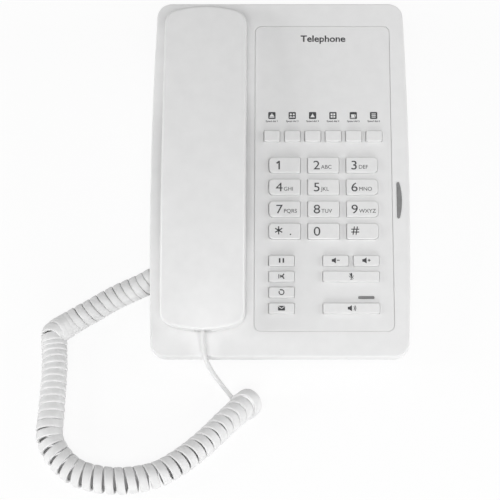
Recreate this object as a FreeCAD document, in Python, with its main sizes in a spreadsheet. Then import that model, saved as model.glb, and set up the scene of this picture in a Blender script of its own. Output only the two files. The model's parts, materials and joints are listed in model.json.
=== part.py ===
"""Corded desk telephone: a low base with a handset on its left, 26 keys and a curly cord.

Millimetres, +Z up, origin on the table under the middle of the base, the user at -Y.
Pieces on the sloping face are drawn flat, with the face at z = 0, and then tilted as one.
"""
import FreeCAD
import Part
import Sketcher

import math
import os
import re

from FreeCAD import Placement, Rotation, Vector

DIMENSIONS = {
    # base: an upper shell with a lip that overhangs a tapered tub
    "body_width": 158.0,
    "body_length": 221.0,
    "side_bow": 2.4,
    "corner_radius": 9.0,
    "edge_radius": 0.8,
    "face_tilt": 8.0,
    "front_height": 20.0,
    "face_shift": -1.36,
    "lip_depth": 10.0,
    "lip_draft": 7.6,
    "shell_wall": 2.4,
    "tub_inset": 5.0,
    "tub_wall": 2.2,
    "tub_taper": 12.0,
    "tub_corner": 14.0,
    "tub_edge": 1.6,
    "tub_depth": 60.0,
    "floor_thickness": 2.4,
    "rim_thickness": 1.2,
    "rim_gap": 0.2,
    "foot_height": 2.0,
    "foot_recess": 1.0,
    "foot_radius": 7.0,
    "foot_spread": 54.0,
    "foot_reach": 84.0,
    "foot_bevel": 0.6,
    "foot_gap": 0.2,
    # faceplate and the windows in it
    "panel_middle": 26.4,
    "panel_width": 84.2,
    "panel_length": 191.5,
    "panel_corner": 4.0,
    "panel_depth": 1.0,
    "panel_side_gap": 0.22,
    "panel_end_gap": 0.08,
    "panel_chamfer": 0.25,
    "indicator_width": 9.5,
    "indicator_depth": 1.5,
    "indicator_corner": 0.6,
    "indicator_across": 51.7,
    "indicator_along": -75.3,
    "indicator_foot_width": 11.0,
    "indicator_foot_depth": 2.9,
    "indicator_foot_shift": 0.25,
    "indicator_foot_thickness": 1.0,
    "lamp_left": 71.2,
    "lamp_right": 74.1,
    "lamp_front": -26.9,
    "lamp_rear": -4.5,
    "lamp_end": 0.8,
    "lamp_proud": 0.3,
    "lamp_foot_width": 8.0,
    "lamp_foot_length": 24.0,
    "lamp_foot_shift": -3.6,
    "lamp_foot_thickness": 2.4,
    "lens_gap": 0.15,
    # keys
    "key_rise": 1.8,
    "key_round": 0.6,
    "key_side_gap": 0.3,
    "key_end_gap": 0.12,
    "key_flange": 0.9,
    "key_flange_thickness": 1.0,
    "key_flange_gap": 0.3,
    "key_corner": 0.9,
    "dial_corner": 2.6,
    "dial_width": 19.2,
    "dial_depth": 9.8,
    "dial_pitch": 23.6,
    "dial_row_pitch": 13.7,
    "dial_first_row": 6.0,
    "memory_width": 9.7,
    "memory_depth": 7.0,
    "memory_pitch": 12.56,
    "memory_row": 24.3,
    "function_width": 15.4,
    "function_depth": 6.5,
    "function_row_pitch": 9.6,
    "function_first_row": -53.1,
    "volume_pitch": 18.4,
    "wide_width": 33.8,
    # keymat and circuit board under the panel
    "dome_height": 2.4,
    "dome_radius": 2.8,
    "dome_hollow": 1.6,
    "dome_top": 2.1,
    "mat_thickness": 1.0,
    "mat_width": 72.0,
    "mat_length": 122.0,
    "mat_corner": 3.0,
    "mat_along": -28.0,
    "light_hole_width": 6.0,
    "light_hole_length": 4.4,
    "light_hole_shift": 1.5,
    "board_thickness": 1.6,
    "board_width": 84.0,
    "board_length": 166.0,
    "board_along": -7.0,
    "board_corner": 2.0,
    "board_hole": 1.5,
    "board_boss": 3.0,
    "boss_bore": 1.1,
    "boss_depth": 14.0,
    "column_wall": 0.8,
    "chip_side": 12.0,
    "chip_height": 1.4,
    "chip_bevel": 0.3,
    "core_width": 16.0,
    "core_length": 13.0,
    "core_height": 9.0,
    "bobbin_width": 10.0,
    "bobbin_length": 18.0,
    "bobbin_height": 7.0,
    "can_radius": 3.15,
    "can_height": 11.0,
    "can_round": 0.6,
    "diode_width": 3.0,
    "diode_depth": 1.6,
    # cradle
    "cradle_middle": -45.5,
    "well_depth": 9.2,
    "well_gap": 1.3,
    "pan_wall": 2.0,
    "trough_width": 36.0,
    "trough_length": 84.0,
    "trough_along": 6.0,
    "trough_depth": 5.0,
    "trough_corner": 10.0,
    "slot_width": 2.0,
    "slot_length": 26.0,
    "slot_pitch": 4.4,
    "slot_corner": 0.8,
    "speaker_radius": 20.0,
    "speaker_flange": 3.0,
    "speaker_depth": 16.0,
    "magnet_radius": 10.0,
    "magnet_height": 7.0,
    "basket_wall": 2.0,
    "cone_radius": 17.0,
    "cone_depth": 5.4,
    "cone_skin": 0.8,
    "dust_cap_radius": 4.0,
    # handset
    "handset_width": 50.0,
    "handset_length": 199.6,
    "handset_along": 3.8,
    "handset_bow": 5.0,
    "handset_corner": 9.0,
    "handset_split": 10.5,
    "handset_underside": 0.7,
    "handset_edge": 2.0,
    "grip_arch": 8.0,
    "grip_span": 96.0,
    "ear_along": 79.0,
    "mouth_along": -68.0,
    "cup_width": 37.0,
    "cup_length": 39.0,
    "cup_corner": 10.0,
    "cup_face": -8.6,
    "cup_taper": 3.0,
    "cup_round": 2.0,
    "cup_wall": 2.0,
    "cup_lining": 0.8,
    "sound_hole_ring": 6.0,
    "ear_hole_radius": 1.2,
    "mouth_hole_radius": 1.0,
    "mouth_hole_pitch": 4.0,
    "back_blank": 22.0,
    "crown_half_width": 31.0,
    "crown_ceiling": 60.0,
    "space_corner": 6.0,
    "ear_space_width": 41.0,
    "ear_space_length": 34.0,
    "ear_ceiling": 11.8,
    "grip_space_width": 38.0,
    "grip_space_length": 84.0,
    "grip_ceiling": 16.0,
    "mouth_space_width": 26.0,
    "mouth_space_length": 36.0,
    "mouth_ceiling": 13.2,
    "mouth_space_shift": -2.0,
    "handset_bore_depth": 5.5,
    "handset_screw_seat": 6.0,
    "receiver_radius": 15.0,
    "receiver_rim": 3.4,
    "receiver_height": 8.6,
    "receiver_body": 13.4,
    "receiver_back": 7.0,
    "receiver_step": 1.0,
    "capsule_radius": 4.85,
    "capsule_height": 6.7,
    "capsule_seal": 1.75,
    "seal_height": 1.5,
    "seal_slope": 0.5,
    "weight_width": 18.0,
    "weight_length": 62.0,
    "weight_height": 5.0,
    "weight_corner": 3.0,
    # hook switch
    "hook_along": 65.0,
    "hook_width": 11.0,
    "hook_depth": 5.0,
    "hook_gap": 0.4,
    "hook_travel": 5.0,
    "hook_rest": 0.3,
    "hook_corner": 0.8,
    "hook_end": 20.0,
    "hook_flange_width": 13.4,
    "hook_flange_depth": 7.0,
    "hook_flange_thickness": 1.2,
    "hook_rib_width": 2.0,
    "hook_rib_length": 8.0,
    "hook_rib_spread": 8.2,
    "hook_rib_drop": 21.0,
    "switch_width": 14.4,
    "switch_depth": 7.0,
    "switch_height": 7.6,
    "switch_top": -22.2,
    "switch_corner": 0.6,
    "switch_button_width": 3.0,
    "switch_button_depth": 2.4,
    "switch_button_height": 1.9,
    # hands-free microphone
    "microphone_across": 40.0,
    "microphone_height": -4.5,
    "microphone_radius": 1.95,
    "microphone_depth": 3.0,
    "sound_hole_radius": 0.7,
    # modular sockets and plugs
    "plug_width": 7.6,
    "plug_height": 6.4,
    "plug_length": 13.0,
    "plug_inserted": 12.0,
    "plug_corner": 0.4,
    "latch_width": 3.0,
    "latch_thickness": 0.9,
    "latch_space": 1.2,
    "socket_gap": 0.2,
    "socket_wall": 1.6,
    "line_socket_width": 9.9,
    "line_socket_height": 7.2,
    "socket_depth": 12.5,
    "socket_back": 3.0,
    "groove_share": 0.45,
    "groove_depth": 0.9,
    "window_gap": 0.2,
    "window_reach": 10.0,
    "socket_corner": 0.5,
    "line_jack_across": 30.0,
    "line_jack_height": 16.0,
    "line_jack_rear": 101.8,
    "line_jack_length": 18.4,
    "pedestal_width": 18.0,
    "pedestal_front": 79.0,
    "pedestal_rear": 100.0,
    "handset_socket_wall": 0.9,
    "handset_socket_length": 14.4,
    "handset_socket_front": -94.2,
    "handset_socket_height": 6.1,
    "passage_width": 10.0,
    "passage_length": 18.4,
    "passage_shift": 5.5,
    "handset_jack_along": -58.5,
    "handset_jack_height": 9.3,
    "alcove_depth": -57.0,
    "alcove_width": 20.0,
    "alcove_height": 12.7,
    "alcove_roof": 1.3,
    # cord
    "lead_diameter": 4.0,
    "coil_diameter": 15.0,
    # fasteners
    "screw_head_radius": 2.8,
    "screw_head_height": 2.0,
    "screw_radius": 1.05,
    "screw_bevel": 0.6,
    "screw_point": 0.3,
    "screw_clearance": 0.25,
    "head_clearance": 0.4,
    "screw_seat": 3.0,
    "screw_tip": 1.0,
    "housing_screw_length": 9.0,
    "board_screw_length": 5.0,
    "handset_screw_length": 9.0,
    # cuts run past a surface by this much
    "overrun": 1.0,
}

# Housing screws: two under the finger trough, and one beyond each end of the board.
HOUSING_SCREWS = [(-60.0, 44.0), (-60.0, -32.0), (42.0, 86.0), (30.0, -95.5)]
BOARD_SCREWS = [(-13.0, 70.0), (66.0, 70.0), (-13.0, -86.0), (66.0, -86.0)]
# Handset screws stand in the solid ribs at the ends of the grip.
HANDSET_SCREWS = [54.5, -46.0]
SPEAKER_SLOTS = 7
EAR_RING = 6
# Components under the board, and the two diodes on top of it with their heights.
CHIP_SPOT = (26.0, 26.0)
TRANSFORMER_SPOT = (44.0, 66.5)
CAN_SPOTS = [(8.0, 40.0), (17.0, 40.0), (26.0, 40.0)]
DIODE_SPOTS = [(66.3, -15.7, 2.0), (51.7, -72.6, 1.0)]

# The curly cord lies on the table in a wide loop and goes under the left edge of the base.
COIL_ROUTE = [
    (-14.5, -133.6, 7.6), (-33.0, -148.0, 7.6), (-52.0, -167.0, 7.6), (-78.0, -182.3, 7.6),
    (-106.0, -182.3, 7.6), (-128.0, -174.0, 7.6), (-138.0, -157.0, 7.6), (-136.0, -135.0, 7.6),
    (-136.2, -115.0, 7.6), (-138.0, -101.3, 7.6), (-130.6, -90.3, 7.6), (-118.0, -83.6, 7.6),
    (-101.0, -72.6, 7.6), (-86.5, -63.4, 8.2), (-75.5, -58.5, 9.3),
]
# The straight lead drops from the lower end of the handset to the underside of the coil.
LEAD_ROUTE = [
    (-45.5, -96.9, 28.4), (-44.2, -104.5, 27.5), (-41.8, -112.6, 25.6), (-38.8, -118.6, 15.6),
    (-34.4, -124.0, 5.6), (-29.4, -129.6, 2.4), (-24.2, -136.4, 2.3),
]
# A short tail joins the other end of the coil to the plug in the side of the base.
TAIL_START = (-75.5, -58.5, 9.3)

doc = FreeCAD.newDocument("desk_telephone")
sheet = doc.addObject("Spreadsheet::Sheet", "Dimensions")
for row, (alias, amount) in enumerate(DIMENSIONS.items(), start=1):
    sheet.set(f"A{row}", alias)
    sheet.set(f"B{row}", str(amount))
    sheet.setAlias(f"B{row}", alias)
doc.recompute()

pieces = []


def size(expression):
    """The value of an expression in the sheet's names."""
    return float(sheet.evalExpression(expression))


def with_sheet(expression):
    """The same expression, as an object outside the sheet writes it."""
    return re.sub(r"[a-z_]+", lambda word: prefixed(word.group(0)), expression)


def prefixed(word):
    return "Dimensions." + word if word in DIMENSIONS else word


def bind(feature, prop, expression):
    feature.setExpression(prop, with_sheet(expression))


def face_height():
    return size("front_height") + size("body_length") / 2 * math.sin(math.radians(size("face_tilt")))


# The lip's rear edge reaches further back than its front edge reaches forward, so the face is shifted.
FACE = Placement(Vector(0, size("face_shift"), face_height()), Rotation(Vector(1, 0, 0), size("face_tilt")))
LEVEL = Placement()


def on_face(across, along, above):
    """World position of a point given on the sloping face."""
    return FACE.multVec(Vector(across, along, above))


def keep(feature, name, placement):
    feature.Label = name
    feature.Placement = placement
    pieces.append(feature)
    return feature


def new_body(name):
    return doc.addObject("PartDesign::Body", name)


def plane(body, role):
    return next(item for item in body.Origin.OriginFeatures if item.Role == role)


def new_sketch(body, name, outlines, height="0", across="0", along="0", turn=0):
    """A sketch on a plane parallel to the body's XY plane, holding one or more closed outlines."""
    sketch = body.newObject("Sketcher::SketchObject", name)
    sketch.AttachmentSupport = (plane(body, "XY_Plane"), [""])
    sketch.MapMode = "FlatFace"
    sketch.AttachmentOffset = Placement(Vector(), Rotation(Vector(0, 0, 1), turn))
    bind(sketch, "AttachmentOffset.Base.x", across)
    bind(sketch, "AttachmentOffset.Base.y", along)
    bind(sketch, "AttachmentOffset.Base.z", height)
    return draw(sketch, outlines)


def side_sketch(body, name, outlines, role, offset="0", across="0"):
    """A sketch on an upright plane: YZ looks along the width, XZ along the length."""
    sketch = body.newObject("Sketcher::SketchObject", name)
    sketch.AttachmentSupport = (plane(body, role), [""])
    sketch.MapMode = "FlatFace"
    bind(sketch, "AttachmentOffset.Base.x", across)
    bind(sketch, "AttachmentOffset.Base.z", offset)
    return draw(sketch, outlines)


def draw(sketch, outlines):
    """Add each outline's lines and arcs, then all their constraints in one go."""
    constraints = []
    named = []
    for outline in outlines:
        geometry, relations, dimensions = outline(sketch.GeometryCount)
        sketch.addGeometry(geometry, False)
        constraints += relations
        for kind, *places, expression in dimensions:
            named.append((len(constraints), expression))
            constraints.append(Sketcher.Constraint(kind, *places, size(expression)))
    sketch.addConstraint(constraints)
    for index, expression in named:
        label = f"size_{index}"
        sketch.renameConstraint(index, label)
        bind(sketch, f"Constraints.{label}", expression)
    return sketch


def arc(x, y, radius, start, end):
    return Part.ArcOfCircle(Part.Circle(Vector(x, y, 0), Vector(0, 0, 1), radius), start, end)


def line(x0, y0, x1, y1):
    return Part.LineSegment(Vector(x0, y0, 0), Vector(x1, y1, 0))


def ring_of_tangents(first, count):
    return [
        Sketcher.Constraint("Tangent", first + i, 2, first + (i + 1) % count, 1) for i in range(count)
    ]


def closed_chain(first, count):
    return [
        Sketcher.Constraint("Coincident", first + i, 2, first + (i + 1) % count, 1) for i in range(count)
    ]


def rounded(width, depth, corner, right_corner=None, across="0", along="0"):
    """A rectangle with rounded corners, which may differ on its left and right."""
    right_corner = right_corner or corner

    def outline(first):
        right, left = size(f"{across} + ({width}) / 2"), size(f"{across} - ({width}) / 2")
        rear, front = size(f"{along} + ({depth}) / 2"), size(f"{along} - ({depth}) / 2")
        small, large = size(corner), size(right_corner)
        quarter = math.pi / 2
        geometry = [
            line(left + small, front, right - large, front),
            arc(right - large, front + large, large, -quarter, 0),
            line(right, front + large, right, rear - large),
            arc(right - large, rear - large, large, 0, quarter),
            line(right - large, rear, left + small, rear),
            arc(left + small, rear - small, small, quarter, 2 * quarter),
            line(left, rear - small, left, front + small),
            arc(left + small, front + small, small, 2 * quarter, 3 * quarter),
        ]
        relations = ring_of_tangents(first, 8)
        relations += [Sketcher.Constraint("Horizontal", first + i) for i in (0, 4)]
        relations += [Sketcher.Constraint("Vertical", first + i) for i in (2, 6)]
        relations += [Sketcher.Constraint("Equal", first + i, first + i + 2) for i in (1, 5)]
        dimensions = [
            ("DistanceX", -1, 1, first + 2, 1, f"{across} + ({width}) / 2"),
            ("DistanceX", -1, 1, first + 6, 1, f"{across} - ({width}) / 2"),
            ("DistanceY", -1, 1, first, 1, f"{along} - ({depth}) / 2"),
            ("DistanceY", -1, 1, first + 4, 1, f"{along} + ({depth}) / 2"),
            ("Radius", first + 1, right_corner),
            ("Radius", first + 5, corner),
        ]
        return geometry, relations, dimensions

    return outline


def bowed(across, along, bow, corner):
    """A rounded rectangle whose two sides bow outwards; across is measured at the bows."""
    bow_radius = f"(({along})^2 / 4 + ({bow})^2) / (2 * ({bow}))"

    def outline(first):
        radius, length, round_radius = size(bow_radius), size(along), size(corner)
        middle = radius - size(across) / 2
        y = length / 2 - round_radius
        x = math.sqrt((radius - round_radius) ** 2 - y * y) - middle
        lean = math.atan2(y, x + middle)
        half = math.pi / 2
        geometry = [
            line(-x, -length / 2, x, -length / 2),
            arc(x, -y, round_radius, -half, -lean),
            arc(-middle, 0, radius, -lean, lean),
            arc(x, y, round_radius, lean, half),
            line(x, length / 2, -x, length / 2),
            arc(-x, y, round_radius, half, math.pi - lean),
            arc(middle, 0, radius, math.pi - lean, math.pi + lean),
            arc(-x, -y, round_radius, math.pi + lean, 3 * half),
        ]
        relations = ring_of_tangents(first, 8)
        relations += [Sketcher.Constraint("Horizontal", first + i) for i in (0, 4)]
        relations += [Sketcher.Constraint("PointOnObject", first + i, 3, -1) for i in (2, 6)]
        relations += [Sketcher.Constraint("Equal", first + i, first + i + 2) for i in (1, 3, 5)]
        relations.append(Sketcher.Constraint("Equal", first + 2, first + 6))
        dimensions = [
            ("Radius", first + 1, corner),
            ("Radius", first + 2, bow_radius),
            ("DistanceY", -1, 1, first + 4, 1, f"({along}) / 2"),
            ("DistanceY", first, 1, -1, 1, f"({along}) / 2"),
            ("DistanceX", first + 2, 3, -1, 1, f"{bow_radius} - ({across}) / 2"),
            ("DistanceX", -1, 1, first + 6, 3, f"{bow_radius} - ({across}) / 2"),
        ]
        return geometry, relations, dimensions

    return outline


def circle(radius, across="0", along="0"):
    def outline(first):
        geometry = [Part.Circle(Vector(size(across), size(along), 0), Vector(0, 0, 1), size(radius))]
        dimensions = [
            ("Radius", first, radius),
            ("DistanceX", -1, 1, first, 3, across),
            ("DistanceY", -1, 1, first, 3, along),
        ]
        return geometry, [], dimensions

    return outline


def polygon(*corners):
    """Straight sides between corners given as pairs of expressions."""

    def outline(first):
        places = [(size(x), size(y)) for x, y in corners]
        geometry = [line(*places[i], *places[(i + 1) % len(places)]) for i in range(len(places))]
        dimensions = []
        for i, (x, y) in enumerate(corners):
            dimensions.append(("DistanceX", -1, 1, first + i, 1, x))
            dimensions.append(("DistanceY", -1, 1, first + i, 1, y))
        return geometry, closed_chain(first, len(corners)), dimensions

    return outline


def arched(half_chord, spring, rise, base):
    """An arc from one spring point to the other, closed by straight sides to a base line."""
    radius = f"(({half_chord})^2 + ({rise})^2) / (2 * ({rise}))"

    def outline(first):
        half, foot, top, bottom = size(half_chord), size(spring), size(rise), size(base)
        reach = size(radius)
        lean = math.asin(half / reach)
        quarter = math.pi / 2
        geometry = [
            arc(0, foot + top - reach, reach, quarter - lean, quarter + lean),
            line(-half, foot, -half, bottom),
            line(-half, bottom, half, bottom),
            line(half, bottom, half, foot),
        ]
        relations = closed_chain(first, 4)
        relations += [Sketcher.Constraint("Vertical", first + i) for i in (1, 3)]
        relations.append(Sketcher.Constraint("Horizontal", first + 2))
        dimensions = [
            ("DistanceX", -1, 1, first, 1, half_chord),
            ("DistanceX", -1, 1, first, 2, f"-({half_chord})"),
            ("DistanceY", -1, 1, first, 1, spring),
            ("DistanceY", -1, 1, first, 2, spring),
            ("DistanceY", -1, 1, first + 2, 1, base),
            ("Radius", first, radius),
        ]
        return geometry, relations, dimensions

    return outline


def pad(body, sketch, length, down=False, taper="0"):
    feature = body.newObject("PartDesign::Pad", sketch.Name + "_pad")
    feature.Profile = sketch
    feature.Reversed = down
    bind(feature, "Length", length)
    bind(feature, "TaperAngle", taper)
    return feature


def pocket(body, sketch, length, up=False):
    """Cut below the sketch, or above it; a cut that removes nothing is an error."""
    doc.recompute()
    before = body.Shape.Volume
    feature = body.newObject("PartDesign::Pocket", sketch.Name + "_pocket")
    feature.Profile = sketch
    feature.Reversed = up
    bind(feature, "Length", length)
    doc.recompute()
    if body.Shape.Volume > before - 1e-6:
        raise RuntimeError(f"{feature.Name} cuts nothing")
    return feature


def slice_off(body, sketch, width):
    """Cut a side profile through the whole width of the body."""
    doc.recompute()
    before = body.Shape.Volume
    feature = body.newObject("PartDesign::Pocket", sketch.Name + "_cut")
    feature.Profile = sketch
    feature.SideType = "Symmetric"
    bind(feature, "Length", width)
    doc.recompute()
    if body.Shape.Volume > before - 1e-6:
        raise RuntimeError(f"{feature.Name} cuts nothing")
    return feature


def round_edges(body, radius, wanted):
    """Fillet the edges that the test picks out."""
    doc.recompute()
    base = body.Tip
    names = [f"Edge{i}" for i, edge in enumerate(base.Shape.Edges, start=1) if wanted(edge)]
    feature = body.newObject("PartDesign::Fillet", body.Name + "_round")
    feature.Base = (base, names)
    bind(feature, "Radius", radius)
    doc.recompute()
    return feature


def bevel_edges(body, amount, wanted):
    doc.recompute()
    base = body.Tip
    names = [f"Edge{i}" for i, edge in enumerate(base.Shape.Edges, start=1) if wanted(edge)]
    feature = body.newObject("PartDesign::Chamfer", body.Name + "_bevel")
    feature.Base = (base, names)
    bind(feature, "Size", amount)
    doc.recompute()
    return feature


def at_height(height, tolerance=1e-4):
    level = size(height)

    def wanted(edge):
        box = edge.BoundBox
        return abs(box.ZMin - level) < tolerance and abs(box.ZMax - level) < tolerance

    return wanted


def group(name, shape, placements, placement=LEVEL):
    """Identical pieces in one node, as separate solids."""
    copies = [shape.transformed((placement * spot).toMatrix(), True) for spot in placements]
    feature = doc.addObject("Part::Feature", name)
    feature.Shape = Part.makeCompound(copies)
    feature.Label = name
    pieces.append(feature)
    return feature


def key_layout():
    """Every key's name, place, size and the corner radii of its left and right ends."""
    middle = "panel_middle"
    first_column = f"{middle} - dial_pitch - dial_width / 2 + function_width / 2"
    last_edge = f"{middle} + dial_pitch + dial_width / 2"
    keys = []
    for i in range(6):
        across = f"{middle} + {i - 2.5} * memory_pitch"
        keys.append((f"memory_key_{i + 1}", across, "memory_row", "memory", "key_corner", "key_corner"))
    names = ["1", "2", "3", "4", "5", "6", "7", "8", "9", "star", "0", "hash"]
    for i, label in enumerate(names):
        column, line_number = i % 3, i // 3
        across = f"{middle} + {column - 1} * dial_pitch"
        along = f"dial_first_row - {line_number} * dial_row_pitch"
        left = "dial_corner" if column == 0 else "key_corner"
        right = "dial_corner" if column == 2 else "key_corner"
        keys.append((f"dial_key_{label}", across, along, "dial", left, right))
    rows = [f"function_first_row - {i} * function_row_pitch" for i in range(4)]
    for label, along in zip(("hold", "transfer", "redial", "message"), rows):
        keys.append((f"{label}_key", first_column, along, "function", "key_corner", "key_corner"))
    volume_up = f"{last_edge} - function_width / 2"
    keys.append(("volume_up_key", volume_up, rows[0], "function", "key_corner", "key_corner"))
    volume_down = f"{volume_up} - volume_pitch"
    keys.append(("volume_down_key", volume_down, rows[0], "function", "key_corner", "key_corner"))
    wide = f"{last_edge} - wide_width / 2"
    keys.append(("mute_key", wide, rows[1], "wide", "key_corner", "key_corner"))
    keys.append(("speaker_key", wide, rows[3], "wide", "key_corner", "key_corner"))
    return keys


KEYS = key_layout()


def key_depth(kind):
    return "function_depth" if kind == "wide" else f"{kind}_depth"


def gather(name, features):
    compound = doc.addObject("Part::Compound", name)
    compound.Links = features
    return compound


def at_key(across, along, height="0"):
    return Placement(Vector(size(across), size(along), size(height)), Rotation())


def make_key_openings():
    """The windows that the keys stand in, cut through both the faceplate and the shell under it."""
    windows = []
    for name, across, along, kind, left, right in KEYS:
        body = new_body(name + "_window")
        width, depth = f"{kind}_width + 2 * key_side_gap", f"{key_depth(kind)} + 2 * key_end_gap"
        outline = rounded(width, depth, f"{left} + key_end_gap", f"{right} + key_end_gap")
        edge = new_sketch(body, name + "_edge", [outline], "-shell_wall - overrun")
        pad(body, edge, "shell_wall + 2 * overrun")
        body.Placement = at_key(across, along)
        windows.append(body)
    return gather("key_openings", windows)


def make_keys():
    """Each key is a cap through the panel, with a flange behind it that stops it falling out."""
    flange_top = "-shell_wall - key_flange_gap"
    for name, across, along, kind, left, right in KEYS:
        body = new_body(name)
        width, depth = f"{kind}_width", key_depth(kind)
        cap = new_sketch(body, name + "_cap", [rounded(width, depth, left, right)], flange_top)
        pad(body, cap, f"key_rise - ({flange_top})")
        round_edges(body, "key_round", at_height("key_rise"))
        wider = [rounded(f"{width} + 2 * key_flange", f"{depth} + 2 * key_flange", left, right)]
        flange = new_sketch(body, name + "_flange", wider, flange_top)
        pad(body, flange, "key_flange_thickness", down=True)
        keep(body, name, FACE * at_key(across, along))


def lamp_outline(gap="0"):
    """The message lamp's window: straight on the left, bowed on the right, with round ends."""
    reach = "(lamp_right - lamp_left)"
    half = "((lamp_rear - lamp_front) / 2 - lamp_end)"
    bow = f"(({half}^2 + ({reach} - lamp_end)^2 - lamp_end^2) / (2 * ({reach} - 2 * lamp_end)))"

    def outline(first):
        end, around, straight = size("lamp_end"), size(bow), size(half)
        left, right, middle = size("lamp_left"), size("lamp_right"), size("(lamp_rear + lamp_front) / 2")
        grow = size(gap)
        lean = math.asin(straight / (around - end))
        geometry = [
            arc(right - around, middle, around + grow, -lean, lean),
            arc(left + end, middle + straight, end + grow, lean, math.pi),
            line(left - grow, middle + straight, left - grow, middle - straight),
            arc(left + end, middle - straight, end + grow, math.pi, 2 * math.pi - lean),
        ]
        relations = ring_of_tangents(first, 4)
        relations.append(Sketcher.Constraint("Equal", first + 1, first + 3))
        dimensions = [
            ("Radius", first, f"{bow} + {gap}"),
            ("Radius", first + 1, f"lamp_end + {gap}"),
            ("DistanceX", -1, 1, first + 2, 1, f"lamp_left - {gap}"),
            ("DistanceY", -1, 1, first + 1, 3, "lamp_rear - lamp_end"),
            ("DistanceY", -1, 1, first + 3, 3, "lamp_front + lamp_end"),
        ]
        return geometry, relations, dimensions

    return outline


def indicator_outline(gap="0"):
    return rounded(
        f"indicator_width + 2 * {gap}", f"indicator_depth + 2 * {gap}", f"indicator_corner + {gap}",
        None, "indicator_across", "indicator_along",
    )


def well(along, extra="0"):
    """The plan of one cradle well, or of the pan around it."""
    width = f"cup_width + 2 * well_gap + 2 * ({extra})"
    length = f"cup_length + 2 * well_gap + 2 * ({extra})"
    return rounded(width, length, f"cup_corner + well_gap + ({extra})", None, "cradle_middle", along)


def trough(extra="0"):
    width, length = f"trough_width + 2 * ({extra})", f"trough_length + 2 * ({extra})"
    return rounded(width, length, f"trough_corner + ({extra})", None, "cradle_middle", "trough_along")


def screw_bosses(spots, radius):
    """Tubes that screws bite into."""
    outlines = []
    for across, along in spots:
        outlines.append(circle(radius, str(across), str(along)))
        outlines.append(circle("boss_bore", str(across), str(along)))
    return outlines


BOARD_TOP = "-shell_wall - key_flange_gap - key_flange_thickness - dome_height - mat_thickness"
BOSS_END = "-boss_depth"


def make_top_housing(key_openings):
    body = new_body("top_shell")
    outline = [bowed("body_width", "body_length", "side_bow", "corner_radius")]
    pad(body, new_sketch(body, "lip_outline", outline), "lip_depth", down=True, taper="lip_draft")
    round_edges(body, "edge_radius", at_height("0"))
    inner = [bowed(
        "body_width - 2 * shell_wall", "body_length - 2 * shell_wall", "side_bow",
        "corner_radius - shell_wall",
    )]
    pocket(body, new_sketch(body, "lip_inside", inner, "-lip_depth"), "lip_depth - shell_wall", up=True)
    pans = [well("ear_along", "pan_wall"), well("mouth_along", "pan_wall")]
    under = "-shell_wall"
    pad(body, new_sketch(body, "well_pans", pans, under), "well_depth + pan_wall - shell_wall", down=True)
    pan = new_sketch(body, "trough_pan", [trough("pan_wall")], under)
    pad(body, pan, "trough_depth + pan_wall - shell_wall", down=True)
    ribs = [
        rounded(
            "hook_rib_width", "hook_rib_length", "hook_rib_width / 4", None,
            f"cradle_middle + {side} * hook_rib_spread", "hook_along",
        )
        for side in (-1, 1)
    ]
    pad(body, new_sketch(body, "hook_ribs", ribs, "-well_depth"), "hook_rib_drop", down=True)
    bosses = new_sketch(body, "board_bosses", screw_bosses(BOARD_SCREWS, "board_boss"), under)
    pad(body, bosses, f"-shell_wall - ({BOARD_TOP})", down=True)
    bosses = new_sketch(body, "housing_bosses", screw_bosses(HOUSING_SCREWS, "board_boss"), under)
    pad(body, bosses, f"-shell_wall - ({BOSS_END})", down=True)
    wells = [well("ear_along"), well("mouth_along")]
    pocket(body, new_sketch(body, "cradle_wells", wells), "well_depth")
    pocket(body, new_sketch(body, "finger_trough", [trough()]), "trough_depth")
    plate = [rounded("panel_width", "panel_length", "panel_corner", None, "panel_middle")]
    pocket(body, new_sketch(body, "panel_seat", plate), "panel_depth")
    windows = [lamp_outline("lens_gap"), indicator_outline("lens_gap")]
    pocket(body, new_sketch(body, "lens_openings", windows), "shell_wall")
    hook = rounded(
        "hook_width + 2 * hook_gap", "hook_depth + 2 * hook_gap", "hook_corner + hook_gap", None,
        "cradle_middle", "hook_along",
    )
    pocket(body, new_sketch(body, "hook_opening", [hook]), "well_depth + pan_wall")
    first_slot = rounded(
        "slot_width", "slot_length", "slot_corner", None,
        f"cradle_middle - {(SPEAKER_SLOTS - 1) / 2} * slot_pitch", "trough_along",
    )
    slot = pocket(body, new_sketch(body, "speaker_slot", [first_slot]), "trough_depth + pan_wall")
    slots = body.newObject("PartDesign::LinearPattern", "speaker_slots")
    slots.Originals = [slot]
    slots.Direction = (slot.Profile[0], ["H_Axis"])
    slots.Occurrences = SPEAKER_SLOTS
    bind(slots, "Length", f"{SPEAKER_SLOTS - 1} * slot_pitch")
    body.Tip = slots
    sound_hole = doc.addObject("Part::Cylinder", "sound_hole")
    bind(sound_hole, "Radius", "sound_hole_radius")
    bind(sound_hole, "Height", "shell_wall + 2 * overrun")
    sound_hole.Placement = in_front_lip("-body_length / 2 - overrun")
    openings = gather("housing_openings", [key_openings, sound_hole])
    keep(cut("top_housing", body, [openings]), "top_housing", FACE)


def make_faceplate(key_openings):
    body = new_body("faceplate_blank")
    outline = rounded(
        "panel_width - 2 * panel_side_gap", "panel_length - 2 * panel_end_gap",
        "panel_corner - panel_end_gap", None, "panel_middle",
    )
    pad(body, new_sketch(body, "plate", [outline], "-panel_depth"), "panel_depth")
    bevel_edges(body, "panel_chamfer", at_height("0"))
    pocket(body, new_sketch(body, "plate_opening", [indicator_outline("lens_gap")]), "panel_depth")
    keep(cut("faceplate", body, [key_openings]), "faceplate", FACE)


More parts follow.
